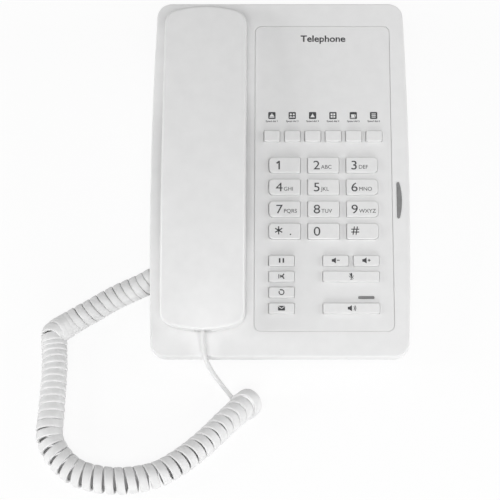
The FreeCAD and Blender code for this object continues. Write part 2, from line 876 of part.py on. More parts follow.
def make_lenses():
    """Each lens has a foot behind the shell that takes light from a diode on the board."""
    body = new_body("message_lamp")
    behind = "-shell_wall"
    pad(body, new_sketch(body, "lamp_lens", [lamp_outline()], behind), "shell_wall + lamp_proud")
    foot = rounded(
        "lamp_foot_width", "lamp_foot_length", "lamp_end", None, "lamp_right + lamp_foot_shift",
        "(lamp_front + lamp_rear) / 2",
    )
    pad(body, new_sketch(body, "lamp_foot", [foot], behind), "lamp_foot_thickness", down=True)
    keep(body, "message_lamp", FACE)
    body = new_body("speaker_indicator")
    pad(body, new_sketch(body, "indicator_lens", [indicator_outline()], behind), "shell_wall")
    foot = rounded(
        "indicator_foot_width", "indicator_foot_depth", "indicator_corner", None, "indicator_across",
        "indicator_along + indicator_foot_shift",
    )
    pad(body, new_sketch(body, "indicator_foot", [foot], behind), "indicator_foot_thickness", down=True)
    keep(body, "speaker_indicator", FACE)


def make_keymat_and_board():
    mat_top = "-shell_wall - key_flange_gap - key_flange_thickness - dome_height"
    body = new_body("keymat_sheet")
    mat = rounded("mat_width", "mat_length", "mat_corner", None, "panel_middle", "mat_along")
    light_hole = rounded(
        "light_hole_width", "light_hole_length", "indicator_corner", None, "indicator_across",
        "indicator_along + light_hole_shift",
    )
    pad(body, new_sketch(body, "mat", [mat, light_hole], mat_top), "mat_thickness", down=True)
    domes = []
    hollows = []
    for name, across, along, *_ in KEYS:
        dome = doc.addObject("Part::Cone", name + "_dome")
        bind(dome, "Radius1", "dome_radius")
        bind(dome, "Radius2", "dome_top")
        bind(dome, "Height", "dome_height")
        dome.Placement = at_key(across, along, mat_top)
        domes.append(dome)
        hollow = doc.addObject("Part::Cylinder", name + "_hollow")
        bind(hollow, "Radius", "dome_hollow")
        bind(hollow, "Height", "mat_thickness + overrun")
        hollow.Placement = at_key(across, along, f"{mat_top} - mat_thickness")
        hollows.append(hollow)
    sheet_with_domes = fuse("mat_with_domes", [body] + domes)
    keep(cut("keymat", sheet_with_domes, [gather("dome_hollows", hollows)]), "keymat", FACE)

    body = new_body("main_board")
    plate = rounded("board_width", "board_length", "board_corner", None, "panel_middle", "board_along")
    holes = [circle("board_hole", str(across), str(along)) for across, along in BOARD_SCREWS]
    pad(body, new_sketch(body, "board", [plate] + holes, BOARD_TOP), "board_thickness", down=True)
    keep(body, "main_board", FACE)


def on_board(name, shapes):
    """Components soldered to the underside of the board, each shape hanging from z = 0."""
    below = size(f"{BOARD_TOP} - board_thickness")
    feature = doc.addObject("Part::Feature", name)
    feature.Shape = Part.makeCompound(shapes) if len(shapes) > 1 else shapes[0]
    keep(feature, name, FACE * Placement(Vector(0, 0, below), Rotation()))


def hanging_block(spot, width, length, height, drop=0.0):
    """A box centred under a spot of the board."""
    wide, long, tall = size(width), size(length), size(height)
    return Part.makeBox(wide, long, tall, Vector(spot[0] - wide / 2, spot[1] - long / 2, -tall - drop))


def make_board_parts():
    chip = hanging_block(CHIP_SPOT, "chip_side", "chip_side", "chip_height")
    on_board("processor_chip", [chip.makeChamfer(size("chip_bevel"), chip.Edges)])
    core = hanging_block(TRANSFORMER_SPOT, "core_width", "core_length", "core_height")
    drop = size("(core_height - bobbin_height) / 2")
    bobbin = hanging_block(TRANSFORMER_SPOT, "bobbin_width", "bobbin_length", "bobbin_height", drop)
    on_board("line_transformer", [core.fuse(bobbin).removeSplitter()])
    tall = size("can_height")
    cans = [Part.makeCylinder(size("can_radius"), tall, Vector(x, y, -tall)) for x, y in CAN_SPOTS]
    ends = [[can.Edges[0], can.Edges[2]] for can in cans]
    on_board("capacitors", [can.makeFillet(size("can_round"), end) for can, end in zip(cans, ends)])
    wide, deep, top = size("diode_width"), size("diode_depth"), size(BOARD_TOP)
    diodes = [
        Part.makeBox(wide, deep, height, Vector(x - wide / 2, y - deep / 2, top))
        for x, y, height in DIODE_SPOTS
    ]
    lamps = doc.addObject("Part::Feature", "lamp_diodes")
    lamps.Shape = Part.makeCompound(diodes)
    keep(lamps, "lamp_diodes", FACE)


def make_loudspeaker():
    """A pressed basket with its magnet, hung under the slots of the finger trough."""
    under = "-trough_depth - pan_wall"
    place = Placement(Vector(size("cradle_middle"), size("trough_along"), size(under)), Rotation())
    basket = new_body("loudspeaker")
    magnet_top = "-(speaker_depth - magnet_height)"
    outside = [
        ("0", "-speaker_depth"), ("magnet_radius", "-speaker_depth"), ("magnet_radius", magnet_top),
        ("magnet_radius + basket_wall", f"{magnet_top} + 0.3 * basket_wall"),
        ("speaker_radius - basket_wall", "-speaker_flange"), ("speaker_radius", "-speaker_flange"),
    ]
    inside = [
        ("speaker_radius", "0"), ("speaker_radius - 1.2 * basket_wall", "0"),
        ("speaker_radius - 1.8 * basket_wall", "-basket_wall"),
        ("magnet_radius - basket_wall / 2", f"{magnet_top} + basket_wall"),
        ("0", f"{magnet_top} + basket_wall"),
    ]
    spin(basket, "basket_profile", outside + inside)
    keep(basket, "loudspeaker", FACE * place)
    cone = new_body("loudspeaker_cone")
    below = [
        ("0", "-cone_depth + cone_skin"), ("dust_cap_radius", "-cone_depth"),
        ("1.25 * dust_cap_radius", "-cone_depth - cone_skin"),
        ("cone_radius - cone_skin", "-1.6 * cone_skin"), ("cone_radius + cone_skin / 4", "-cone_skin / 2"),
    ]
    above = [
        ("cone_radius", "-cone_skin / 4"), ("cone_radius - 1.4 * cone_skin", "-1.1 * cone_skin"),
        ("1.25 * dust_cap_radius", "-cone_depth"), ("dust_cap_radius", "-cone_depth + cone_skin"),
        ("0", "-cone_depth + 2.25 * cone_skin"),
    ]
    spin(cone, "cone_profile", below + above)
    keep(cone, "loudspeaker_cone", FACE * place)


def spin(body, name, corners):
    """Revolve a half profile about the upright axis."""
    sketch = side_sketch(body, name, [polygon(*corners)], "XZ_Plane")
    feature = body.newObject("PartDesign::Revolution", name + "_spin")
    feature.Profile = sketch
    feature.ReferenceAxis = (sketch, ["V_Axis"])
    feature.Angle = 360
    return feature


def make_hook():
    """The hook plunger stands in the ear well; the micro switch under it is held by two ribs."""
    body = new_body("hook_plunger")
    top = "cup_face - hook_rest"
    flange_top = "-well_depth - pan_wall - hook_travel - hook_rest"
    stem = [rounded("hook_width", "hook_depth", "hook_corner")]
    pad(body, new_sketch(body, "plunger", stem, "-hook_end"), f"{top} + hook_end")
    round_edges(body, "0.75 * hook_corner", at_height(top))
    flange = [rounded("hook_flange_width", "hook_flange_depth", "hook_corner")]
    pad(body, new_sketch(body, "plunger_flange", flange, flange_top), "hook_flange_thickness", down=True)
    spot = Placement(Vector(size("cradle_middle"), size("hook_along"), 0), Rotation())
    keep(body, "hook_plunger", FACE * spot)
    body = new_body("hook_switch")
    case = [rounded("switch_width", "switch_depth", "switch_corner")]
    pad(body, new_sketch(body, "switch_case", case, "switch_top"), "switch_height", down=True)
    button = [rounded("switch_button_width", "switch_button_depth", "switch_corner")]
    pad(body, new_sketch(body, "switch_button", button, "switch_top"), "switch_button_height")
    keep(body, "hook_switch", FACE * spot)


def make_microphone():
    """The hands-free microphone listens through a small hole in the front of the lip."""
    can = doc.addObject("Part::Cylinder", "hands_free_microphone")
    bind(can, "Radius", "microphone_radius")
    bind(can, "Height", "microphone_depth")
    keep(can, "hands_free_microphone", FACE * in_front_lip("-body_length / 2 + shell_wall"))


def in_front_lip(along):
    """A rearward axis at the height of the microphone in the front of the lip."""
    spot = Vector(size("microphone_across"), size(along), size("microphone_height"))
    return Placement(spot, Rotation(Vector(1, 0, 0), -90))


def box_feature(name, low, high):
    feature = doc.addObject("Part::Box", name)
    feature.Length, feature.Width, feature.Height = (high[i] - low[i] for i in range(3))
    feature.Placement = FACE.inverse() * Placement(Vector(*low), Rotation())
    return feature


def cut(name, base, tools):
    feature = doc.addObject("Part::Cut", name)
    feature.Base = base
    feature.Tool = fuse(name + "_tools", tools) if len(tools) > 1 else tools[0]
    return feature


def fuse(name, shapes):
    feature = doc.addObject("Part::MultiFuse", name)
    feature.Shapes = shapes
    feature.Refine = True
    return feature


def below_level(level):
    """Everything under a level plane, in the tilted frame of the face."""
    inverse = FACE.inverse()
    far, deep = 200, 120
    rear, front = inverse.multVec(Vector(0, far, level)), inverse.multVec(Vector(0, -far, level))
    corners = [(front.y, front.z), (rear.y, rear.z), (rear.y, rear.z - deep), (front.y, front.z - deep)]
    return polygon(*[(f"{y}", f"{z}") for y, z in corners])


def tub(name, inset, level):
    """A tapered tub from the lip down to a level plane."""
    body = new_body(name)
    outline = bowed(
        f"body_width - 2 * ({inset})", f"body_length - 2 * ({inset})", "side_bow",
        f"tub_corner + tub_inset - ({inset})",
    )
    sketch = new_sketch(body, name + "_outline", [outline], "-lip_depth")
    pad(body, sketch, "tub_depth", down=True, taper="-tub_taper")
    slice_off(body, side_sketch(body, name + "_ground", [below_level(level)], "YZ_Plane"), "2 * body_width")
    round_edges(body, "tub_edge", on_level(level))
    return body


def on_level(level, tolerance=1e-4):
    """Picks out the edges of a tilted body that lie in a level plane."""

    def wanted(edge):
        return all(abs(FACE.multVec(corner.Point).z - level) < tolerance for corner in edge.Vertexes)

    return wanted


def screw_column(spot, radius, name):
    column = doc.addObject("Part::Cylinder", name)
    column.Radius = radius
    bind(column, "Height", "tub_depth")
    column.Placement = Placement(Vector(*spot, size(f"{BOSS_END} - tub_depth")), Rotation())
    return column


def make_bottom_housing():
    foot = size("foot_height")
    outer = tub("tub_outer", "tub_inset", foot)
    core = tub("tub_core", "tub_inset + tub_wall", foot + size("floor_thickness"))
    rim = new_body("tub_rim")
    outline = bowed(
        "body_width - 2 * (shell_wall + rim_gap)", "body_length - 2 * (shell_wall + rim_gap)",
        "side_bow", "corner_radius - shell_wall",
    )
    hole = bowed(
        "body_width - 2 * (tub_inset + tub_wall)", "body_length - 2 * (tub_inset + tub_wall)",
        "side_bow", "tub_corner - tub_wall",
    )
    pad(rim, new_sketch(rim, "rim_outline", [outline, hole], "-lip_depth"), "rim_thickness")
    # the alcove in the left wall where the curly cord plugs in
    back, along, height = size("alcove_depth"), size("handset_jack_along"), size("alcove_height")
    half, wall, left = size("alcove_width") / 2, size("tub_wall"), -size("body_width") / 2
    alcove = box_feature(
        "alcove_wall", (left, along - half - wall, foot),
        (back + wall, along + half + wall, height + size("alcove_roof")),
    )
    alcove_shell = doc.addObject("Part::Common", "alcove_shell")
    alcove_shell.Base = alcove
    alcove_shell.Tool = outer
    far = size("window_reach")
    alcove_space = box_feature(
        "alcove_space", (left - far, along - half, -far), (back, along + half, height),
    )
    # the pedestal that carries the line jack, and the columns for the screws
    across, wide = size("line_jack_across"), size("pedestal_width") / 2
    seat = size("line_jack_height - line_socket_height / 2 - socket_wall")
    pedestal = box_feature(
        "jack_pedestal", (across - wide, size("pedestal_front"), foot),
        (across + wide, size("pedestal_rear"), seat),
    )
    column_shells = []
    for i, spot in enumerate(HOUSING_SCREWS):
        shell = doc.addObject("Part::Common", f"column_shell_{i}")
        shell.Base = screw_column(spot, size("board_boss + column_wall"), f"column_{i}")
        shell.Tool = outer
        column_shells.append(shell)
    hollow = doc.addObject("Part::Cut", "tub_hollow")
    hollow.Base = outer
    hollow.Tool = core
    solid = fuse("tub_solid", [hollow, rim, alcove_shell, pedestal] + column_shells)
    tools = [alcove_space]
    for i, spot in enumerate(HOUSING_SCREWS):
        bore = screw_column(spot, size("screw_radius + screw_clearance"), f"bore_{i}")
        bind(bore, "Height", "tub_depth + 2 * overrun")
        head = screw_column(spot, size("screw_head_radius + head_clearance"), f"head_bore_{i}")
        head.Placement.Base.z -= size("screw_seat")
        tools += [bore, head]
    # the line jack's window in the rear wall and the handset jack's in the alcove
    gap = size("window_gap")
    tools.append(box_feature("line_window", *line_jack_box(gap, far)))
    tools.append(box_feature("handset_window", *handset_jack_box(gap, far)))
    for i, (x, y) in enumerate(foot_spots()):
        recess = doc.addObject("Part::Cylinder", f"foot_recess_{i}")
        bind(recess, "Radius", "foot_radius + foot_gap")
        bind(recess, "Height", "foot_recess")
        recess.Placement = FACE.inverse() * Placement(Vector(x, y, foot), Rotation())
        tools.append(recess)
    keep(cut("bottom_housing", solid, tools), "bottom_housing", FACE)


def foot_spots():
    spread, reach = size("foot_spread"), size("foot_reach")
    return [(x, y) for x in (-spread, spread) for y in (-reach, reach)]


def make_feet():
    body = new_body("rubber_foot")
    radius, bevel, top = "foot_radius", "foot_bevel", "foot_height + foot_recess"
    corners = [("0", "0"), (f"{radius} - {bevel}", "0"), (radius, bevel), (radius, top), ("0", top)]
    spin(body, "foot_profile", corners)
    doc.recompute()
    group("rubber_feet", body.Shape, [Placement(Vector(x, y, 0), Rotation()) for x, y in foot_spots()])


def screw_shape(name):
    """A pan-head screw standing on its tip, with the head at z = 0 and the shank above it."""
    body = new_body(name)
    head, tall, shank, bevel = "screw_head_radius", "screw_head_height", "screw_radius", "screw_bevel"
    length = name + "_length"
    corners = [("0", f"-{tall}"), (f"{head} - {bevel}", f"-{tall}"), (head, f"-{tall} + {bevel}")]
    corners += [(head, "0"), (shank, "0"), (shank, f"{length} - screw_tip")]
    corners += [("screw_point", length), ("0", length)]
    spin(body, name + "_profile", corners)
    doc.recompute()
    return body.Shape


def make_screws():
    seat = size(f"{BOSS_END} - screw_seat")
    spots = [Placement(Vector(*spot, seat), Rotation()) for spot in HOUSING_SCREWS]
    group("housing_screws", screw_shape("housing_screw"), spots, FACE)
    below = size(f"{BOARD_TOP} - board_thickness")
    spots = [Placement(Vector(*spot, below), Rotation()) for spot in BOARD_SCREWS]
    group("board_screws", screw_shape("board_screw"), spots, FACE)


def line_jack_box(gap=0.0, overrun=0.0):
    """Low and high corners of the line jack, which faces the rear."""
    half = size("line_socket_width / 2 + socket_wall") + gap
    tall = size("line_socket_height / 2 + socket_wall") + gap
    across, height = size("line_jack_across"), size("line_jack_height")
    rear = size("line_jack_rear")
    front = rear - size("line_jack_length") - gap
    return (across - half, front, height - tall), (across + half, rear + overrun, height + tall)


def handset_jack_box(gap=0.0, overrun=0.0):
    """Low and high corners of the jack for the curly cord, which faces left in the alcove."""
    half = size("plug_width / 2 + socket_gap + socket_wall") + gap
    tall = size("plug_height / 2 + socket_gap + socket_wall") + gap
    along, height = size("handset_jack_along"), size("handset_jack_height")
    mouth = size("alcove_depth")
    back = mouth + size("socket_depth + socket_back") + gap
    return (mouth - overrun, along - half, height - tall), (back, along + half, height + tall)


def jack(name, width, height, wall, length, placement):
    """A modular socket: its mouth at z = 0 faces +Z, with a groove for the plug's latch."""
    body = new_body(name)
    case = rounded(f"{width} + 2 * {wall}", f"{height} + 2 * {wall}", "socket_corner")
    pad(body, new_sketch(body, name + "_case", [case]), length, down=True)
    mouth = rounded(width, height, "socket_corner / 2")
    pocket(body, new_sketch(body, name + "_mouth", [mouth]), "socket_depth")
    groove = rounded(
        f"({width}) * groove_share", "groove_depth", "socket_gap", None, "0",
        f"-({height}) / 2 - socket_gap",
    )
    pocket(body, new_sketch(body, name + "_groove", [groove]), "socket_depth - socket_wall")
    keep(body, name, placement)


def facing(point, direction, upright):
    """A placement whose +Z is the direction and whose +Y is upright."""
    return Placement(point, Rotation(upright.cross(direction), upright, direction, "ZXY"))


FRONTWARD = FACE.Rotation.multVec(Vector(0, -1, 0))
FACE_UP = FACE.Rotation.multVec(Vector(0, 0, 1))


def handset_socket_mouth():
    return on_face(size("cradle_middle"), size("handset_socket_front"), size("handset_socket_height"))


def handset_jack_mouth():
    low, high = handset_jack_box()
    return Vector(low[0], (low[1] + high[1]) / 2, (low[2] + high[2]) / 2)


def make_jacks():
    low, high = line_jack_box()
    mouth = Vector((low[0] + high[0]) / 2, high[1], (low[2] + high[2]) / 2)
    jack("line_jack", "line_socket_width", "line_socket_height", "socket_wall", "line_jack_length",
         facing(mouth, Vector(0, 1, 0), Vector(0, 0, 1)))
    width, height = "(plug_width + 2 * socket_gap)", "(plug_height + 2 * socket_gap)"
    jack("handset_jack", width, height, "socket_wall", "socket_depth + socket_back",
         facing(handset_jack_mouth(), Vector(-1, 0, 0), Vector(0, 0, 1)))
    jack("handset_socket", width, height, "handset_socket_wall", "handset_socket_length",
         facing(handset_socket_mouth(), FRONTWARD, FACE_UP))


def plug(name, mouth, direction, upright):
    """A clear modular plug with its latch, seated in a socket whose mouth is given."""
    body = new_body(name)
    block = rounded("plug_width", "plug_height - latch_space", "plug_corner", None, "0", "latch_space / 2")
    pad(body, new_sketch(body, name + "_block", [block]), "plug_length", down=True)
    latch = rounded(
        "latch_width", "latch_thickness", "latch_thickness / 3", None, "0",
        "-plug_height / 2 + latch_space - latch_thickness / 2",
    )
    pad(body, new_sketch(body, name + "_latch", [latch]), "plug_inserted - overrun", down=True)
    keep(body, name, facing(mouth + direction * size("plug_length - plug_inserted"), direction, upright))


def make_plugs():
    plug("handset_plug", handset_socket_mouth(), FRONTWARD, FACE_UP)
    plug("base_plug", handset_jack_mouth(), Vector(-1, 0, 0), Vector(0, 0, 1))


def handset_plan():
    """The handset seen from above: straight sides and bowed ends."""
    return bowed("handset_length", "handset_width", "handset_bow", "handset_corner")


# Edges that lie closer than this to the split belong to it.
NEAR = 0.2
# The back of the handset, from its lower to its upper end: place, height and fall to the sides.
CROWN = [(-100.0, 16.8, 6.0), (-62.0, 20.4, 4.8), (-15.0, 21.2, 2.4), (45.0, 19.0, 1.0), (108.0, 14.4, 0.9)]


def make_handset_outer_shell():
    body = new_body("handset_outer_shell")
    middle = ("cradle_middle", "handset_along", 90)
    plan = new_sketch(body, "back_plan", [handset_plan()], "handset_split", *middle)
    pad(body, plan, "back_blank")
    sections = []
    for i, (along, height, fall) in enumerate(CROWN):
        crown = arched("crown_half_width", f"{height - fall}", f"{fall}", "crown_ceiling")
        sections.append(side_sketch(body, f"crown_{i}", [crown], "XZ_Plane", f"{-along}", "cradle_middle"))
    loft = body.newObject("PartDesign::SubtractiveLoft", "crown_cut")
    loft.Profile = sections[0]
    loft.Sections = sections[1:]
    above_split = size("handset_split") + NEAR
    round_edges(body, "handset_edge", lambda edge: edge.BoundBox.ZMin > above_split and not upright(edge))
    places = {"ear": "ear_along", "grip": "handset_along", "mouth": "mouth_along + mouth_space_shift"}
    for name, along in places.items():
        space = rounded(
            f"{name}_space_width", f"{name}_space_length", "space_corner", None, "cradle_middle", along,
        )
        sketch = new_sketch(body, name + "_back_space", [space], "handset_split")
        pocket(body, sketch, f"{name}_ceiling - handset_split", up=True)
    holes = [circle("boss_bore", "cradle_middle", f"{along}") for along in HANDSET_SCREWS]
    pocket(body, new_sketch(body, "back_bores", holes, "handset_split"), "handset_bore_depth", up=True)
    keep(body, "handset_outer_shell", FACE)


def upright(edge):
    first, last = edge.Vertexes[0].Point, edge.Vertexes[-1].Point
    return abs(first.z - last.z) > 0.9 * max((first - last).Length, 1e-9)


def cup(along, inset="0"):
    width, length = f"cup_width - 2 * ({inset})", f"cup_length - 2 * ({inset})"
    return rounded(width, length, f"cup_corner - ({inset})", None, "cradle_middle", along)


def make_handset_inner_shell():
    """The side held to the head: an arched grip between the ear cup and the mouth cup."""
    body = new_body("handset_inner_shell")
    plan = new_sketch(body, "front_plan", [handset_plan()], "handset_underside",
                      "cradle_middle", "handset_along", 90)
    pad(body, plan, "handset_split - handset_underside")
    arch = arched("grip_span / 2", "handset_underside", "grip_arch - handset_underside", "-trough_depth")
    profile = side_sketch(body, "grip_arch_cut", [arch], "YZ_Plane", "0", "handset_along")
    slice_off(body, profile, "4 * handset_width")
    cups = [cup("ear_along"), cup("mouth_along")]
    sketch = new_sketch(body, "cups", cups, "handset_underside")
    pad(body, sketch, "handset_underside - cup_face", down=True, taper="-cup_taper")
    round_edges(body, "cup_round", at_height("cup_face"))
    for name, along in (("ear", "ear_along"), ("mouth", "mouth_along")):
        space = new_sketch(body, name + "_space", [cup(along, "cup_wall + cup_lining")], "handset_split")
        pocket(body, space, "handset_split - cup_face - cup_wall")
    mouth = rounded(
        "passage_width", "passage_length", "socket_corner", None, "cradle_middle",
        "handset_socket_front + passage_shift",
    )
    passage = new_sketch(body, "cord_passage", [mouth], "handset_split")
    pocket(body, passage, "handset_split - handset_socket_height + plug_height / 2 + latch_space")
    spread = size("sound_hole_ring")
    angles = [2 * math.pi * i / EAR_RING for i in range(EAR_RING)]
    spots = [(0.0, 0.0)] + [(spread * math.cos(angle), spread * math.sin(angle)) for angle in angles]
    holes = [circle("ear_hole_radius", f"cradle_middle + {x}", f"ear_along + {y}") for x, y in spots]
    steps = [f"cradle_middle + {i} * mouth_hole_pitch" for i in (-1, 0, 1)]
    holes += [circle("mouth_hole_radius", across, "mouth_along") for across in steps]
    sketch = new_sketch(body, "sound_holes", holes, "cup_face")
    pocket(body, sketch, "cup_wall", up=True)
    bores = [circle("screw_radius + screw_clearance", "cradle_middle", f"{y}") for y in HANDSET_SCREWS]
    pocket(body, new_sketch(body, "front_bores", bores, "handset_split"), "handset_split")
    heads = [circle("screw_head_radius + head_clearance", "cradle_middle", f"{y}") for y in HANDSET_SCREWS]
    pocket(body, new_sketch(body, "head_recesses", heads, "handset_screw_seat"), "handset_screw_seat")
    keep(body, "handset_inner_shell", FACE)


def make_handset_contents():
    middle, ear, mouth = size("cradle_middle"), size("ear_along"), size("mouth_along")
    floor = size("cup_face + cup_wall")
    receiver = new_body("receiver_capsule")
    spin(receiver, "receiver_profile", [
        ("0", "0"), ("receiver_radius", "0"), ("receiver_radius", "receiver_rim"),
        ("receiver_body", "receiver_rim + receiver_step"),
        ("receiver_body", "receiver_height - 1.2 * receiver_step"),
        ("receiver_back", "receiver_height"), ("0", "receiver_height"),
    ])
    keep(receiver, "receiver_capsule", FACE * Placement(Vector(middle, ear, floor), Rotation()))
    capsule = new_body("handset_microphone")
    spin(capsule, "capsule_profile", [
        ("0", "0"), ("capsule_radius + capsule_seal", "0"), ("capsule_radius + capsule_seal", "seal_height"),
        ("capsule_radius", "seal_height + seal_slope"), ("capsule_radius", "capsule_height"),
        ("0", "capsule_height"),
    ])
    keep(capsule, "handset_microphone", FACE * Placement(Vector(middle, mouth, floor), Rotation()))
    weight = new_body("handset_weight")
    bar = [rounded("weight_width", "weight_length", "weight_corner")]
    pad(weight, new_sketch(weight, "weight_bar", bar), "weight_height")
    spot = Placement(Vector(middle, size("handset_along"), size("handset_split")), Rotation())
    keep(weight, "handset_weight", FACE * spot)
    seat = size("handset_screw_seat")
    spots = [Placement(Vector(middle, along, seat), Rotation()) for along in HANDSET_SCREWS]
    group("handset_screws", screw_shape("handset_screw"), spots, FACE)


# Share of a straight run that the arc at each of its ends may take.
ARC_SHARE = 0.45


def rounded_path(points):
    """Straight runs joined by arcs as large as the shorter run beside each corner allows."""
    corners = [Vector(*point) for point in points]
    edges = []
    start = corners[0]
    for before, corner, after in zip(corners, corners[1:], corners[2:]):
        arriving, leaving = (corner - before).normalize(), (after - corner).normalize()
        turn = arriving.getAngle(leaving)
        shorter = min((corner - before).Length, (after - corner).Length)
        reach = ARC_SHARE * shorter
        radius = reach / math.tan(turn / 2)
        print(f"  turn {math.degrees(turn):5.1f} degrees, radius {radius:6.1f} mm")
        first, last = corner - arriving * reach, corner + leaving * reach
        inward = (leaving - arriving).normalize()
        middle = corner + inward * (radius / math.cos(turn / 2) - radius)
        edges.append(Part.LineSegment(start, first).toShape())
        edges.append(Part.Arc(first, middle, last).toShape())
        start = last
    edges.append(Part.LineSegment(start, corners[-1]).toShape())
    return Part.Wire(edges)


def make_cord(name, route, diameter):
    print(name)
    path = rounded_path(route)
    start, heading = Vector(*route[0]), Vector(*route[1]) - Vector(*route[0])
    radius = size(diameter) / 2
    section = Part.Wire(Part.makeCircle(radius, start, heading))
    solid = path.makePipeShell([section], True, False)
    expected = math.pi * radius**2 * path.Length
    print(f"  length {path.Length:.1f} mm, volume {solid.Volume / expected:.4f} of section times length")
    feature = doc.addObject("Part::Feature", name)
    feature.Shape = solid
    keep(feature, name, LEVEL)


def make_cords():
    make_cord("handset_lead", LEAD_ROUTE, "lead_diameter")
    make_cord("curly_cord", COIL_ROUTE, "coil_diameter")
    tail_end = pieces_by_name("base_plug").Shape.BoundBox.XMin
    make_cord("base_lead", [TAIL_START, (tail_end, *TAIL_START[1:])], "lead_diameter")


def pieces_by_name(name):
    doc.recompute()
    return next(piece for piece in pieces if piece.Label == name)


def check_document():
    doc.recompute()
    for item in doc.Objects:
        if {"Invalid", "Error"} & set(item.State):
            raise RuntimeError(f"{item.Name} failed: {item.State}")
    for piece in pieces:
        if piece.Shape.isNull() or not piece.Shape.isValid() or not piece.Shape.Solids:
            raise RuntimeError(f"{piece.Label} has no sound solid")


key_openings = make_key_openings()
make_top_housing(key_openings)
make_faceplate(key_openings)
make_lenses()
make_keys()
make_keymat_and_board()
make_board_parts()
make_loudspeaker()
make_hook()
make_microphone()
make_bottom_housing()
make_feet()
make_screws()
make_jacks()
make_plugs()
make_handset_outer_shell()
make_handset_inner_shell()
make_handset_contents()
make_cords()
check_document()

os.makedirs("parts", exist_ok=True)
for piece in pieces:
    piece.Shape.exportStep(f"parts/{piece.Label}.step")
print(f"{len(pieces)} pieces written")
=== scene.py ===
"""Looks of the corded desk telephone: plastics, printed signs, curly cord, light and camera.

Metres, +Z up, the user at -Y. Signs are drawn in millimetres on a flat sheet, then laid on the face.
"""

import json
import math

import bpy
from mathutils import Matrix, Vector


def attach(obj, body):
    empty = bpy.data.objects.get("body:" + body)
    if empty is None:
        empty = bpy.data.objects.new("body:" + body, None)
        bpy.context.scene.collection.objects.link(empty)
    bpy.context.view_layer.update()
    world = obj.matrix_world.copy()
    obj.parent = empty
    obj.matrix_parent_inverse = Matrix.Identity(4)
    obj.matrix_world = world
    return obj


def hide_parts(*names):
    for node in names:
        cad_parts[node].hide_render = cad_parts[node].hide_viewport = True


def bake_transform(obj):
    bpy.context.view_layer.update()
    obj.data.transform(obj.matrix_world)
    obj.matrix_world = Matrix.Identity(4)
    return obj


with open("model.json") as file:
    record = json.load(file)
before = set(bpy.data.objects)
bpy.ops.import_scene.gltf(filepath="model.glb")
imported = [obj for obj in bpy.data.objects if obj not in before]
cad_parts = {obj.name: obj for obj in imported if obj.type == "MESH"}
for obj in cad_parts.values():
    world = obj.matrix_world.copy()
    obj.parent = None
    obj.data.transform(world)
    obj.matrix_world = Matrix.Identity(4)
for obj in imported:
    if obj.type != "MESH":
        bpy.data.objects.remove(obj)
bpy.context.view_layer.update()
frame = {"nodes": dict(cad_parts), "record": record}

MM = 0.001
UPWARDS = Vector((0, 0, 1))

# The sloping face: slope, length, place of its middle, and height of its front edge, in degrees and
# millimetres.
FACE_TILT = 8.0
FACE_LENGTH = 221.0
FACE_SHIFT = -1.36
FRONT_HEIGHT = 20.0
FACE_HEIGHT = FRONT_HEIGHT + FACE_LENGTH / 2 * math.sin(math.radians(FACE_TILT))
SLOPE = Matrix.Rotation(math.radians(FACE_TILT), 4, "X")
FACE = Matrix.Translation(Vector((0, FACE_SHIFT, FACE_HEIGHT)) * MM) @ SLOPE

# The keys on the face, in millimetres from its middle.
PANEL_MIDDLE = 26.4
KEY_RISE = 1.8
DIAL_COLUMNS = 3
DIAL_PITCH = 23.6
DIAL_ROW_PITCH = 13.7
DIAL_FIRST_ROW = 6.0
DIAL_WIDTH = 19.2
MEMORY_PITCH = 12.56
FUNCTION_FIRST_ROW = -53.1
FUNCTION_ROW_PITCH = 9.6
LEFT_KEYS = 0.9
VOLUME_DOWN = 33.5
VOLUME_UP = 51.9
WIDE_KEYS = 42.7

# Ink stands this far off the plastic and is this thick, in millimetres.
INK_LIFT = 0.01
INK_THICKNESS = 0.03
# Height of a capital letter in the lettering, as a share of its size.
CAPITAL_HEIGHT = 0.69
# How finely the curves of the signs are drawn.
LETTER_STEPS = 6
CORNER_STEPS = 5
DISC_SIDES = 32
RING_SIDES = 72

# The cord's route, in millimetres. The lead drops from the handset and runs under the coil's free end.
LEAD_ROUTE = [
    (-45.5, -96.9, 28.4), (-45.4, -104.5, 27.5), (-44.2, -112.6, 25.6), (-40.8, -118.6, 15.6),
    (-35.8, -124.4, 6.2), (-30.8, -130.2, 3.5), (-26.4, -135.8, 2.4),
]
# The coil has a sharp fold at its upper left corner and goes under the left edge of the base.
COIL_ROUTE = [
    (-18.6, -136.2, 10.0), (-25.0, -141.8, 9.6), (-32.8, -148.6, 8.8), (-43.3, -159.1, 8.0),
    (-55.4, -169.0, 8.0), (-69.7, -178.0, 8.1), (-83.9, -181.5, 8.2),
    (-98.2, -182.2, 8.2), (-113.1, -179.7, 8.2), (-122.0, -175.9, 8.2), (-130.2, -168.3, 8.2),
    (-135.8, -159.1, 8.2), (-136.5, -151.8, 8.2), (-136.0, -144.9, 8.2), (-135.7, -121.9, 8.0),
    (-135.8, -114.1, 8.1), (-136.9, -101.0, 8.4), (-137.8, -95.6, 8.6), (-136.2, -93.4, 8.6),
    (-124.3, -85.4, 8.4), (-114.6, -79.8, 7.9), (-104.4, -73.0, 7.7),
    (-92.3, -67.0, 7.7), (-83.1, -63.0, 8.1), (-75.6, -58.2, 9.1), (-67.1, -58.5, 9.3),
    (-58.4, -58.5, 9.3),
]
RIBBON_WIDTH = 5.0
RIBBON_THICKNESS = 2.2
# The ribbon's section is an oblong whose corners are this round: 1 is an ellipse, 0 a sharp oblong.
RIBBON_ROUNDNESS = 0.5
RIBBON_SIDES = 20
# How finely the cord is drawn: round a turn, and along its line between two points of the route.
STEPS_PER_TURN = 36
LINE_STEPS = 24
# The coil's heading is taken over this many points of its line, behind and ahead.
LINE_BEHIND = 2
LINE_AHEAD = 3
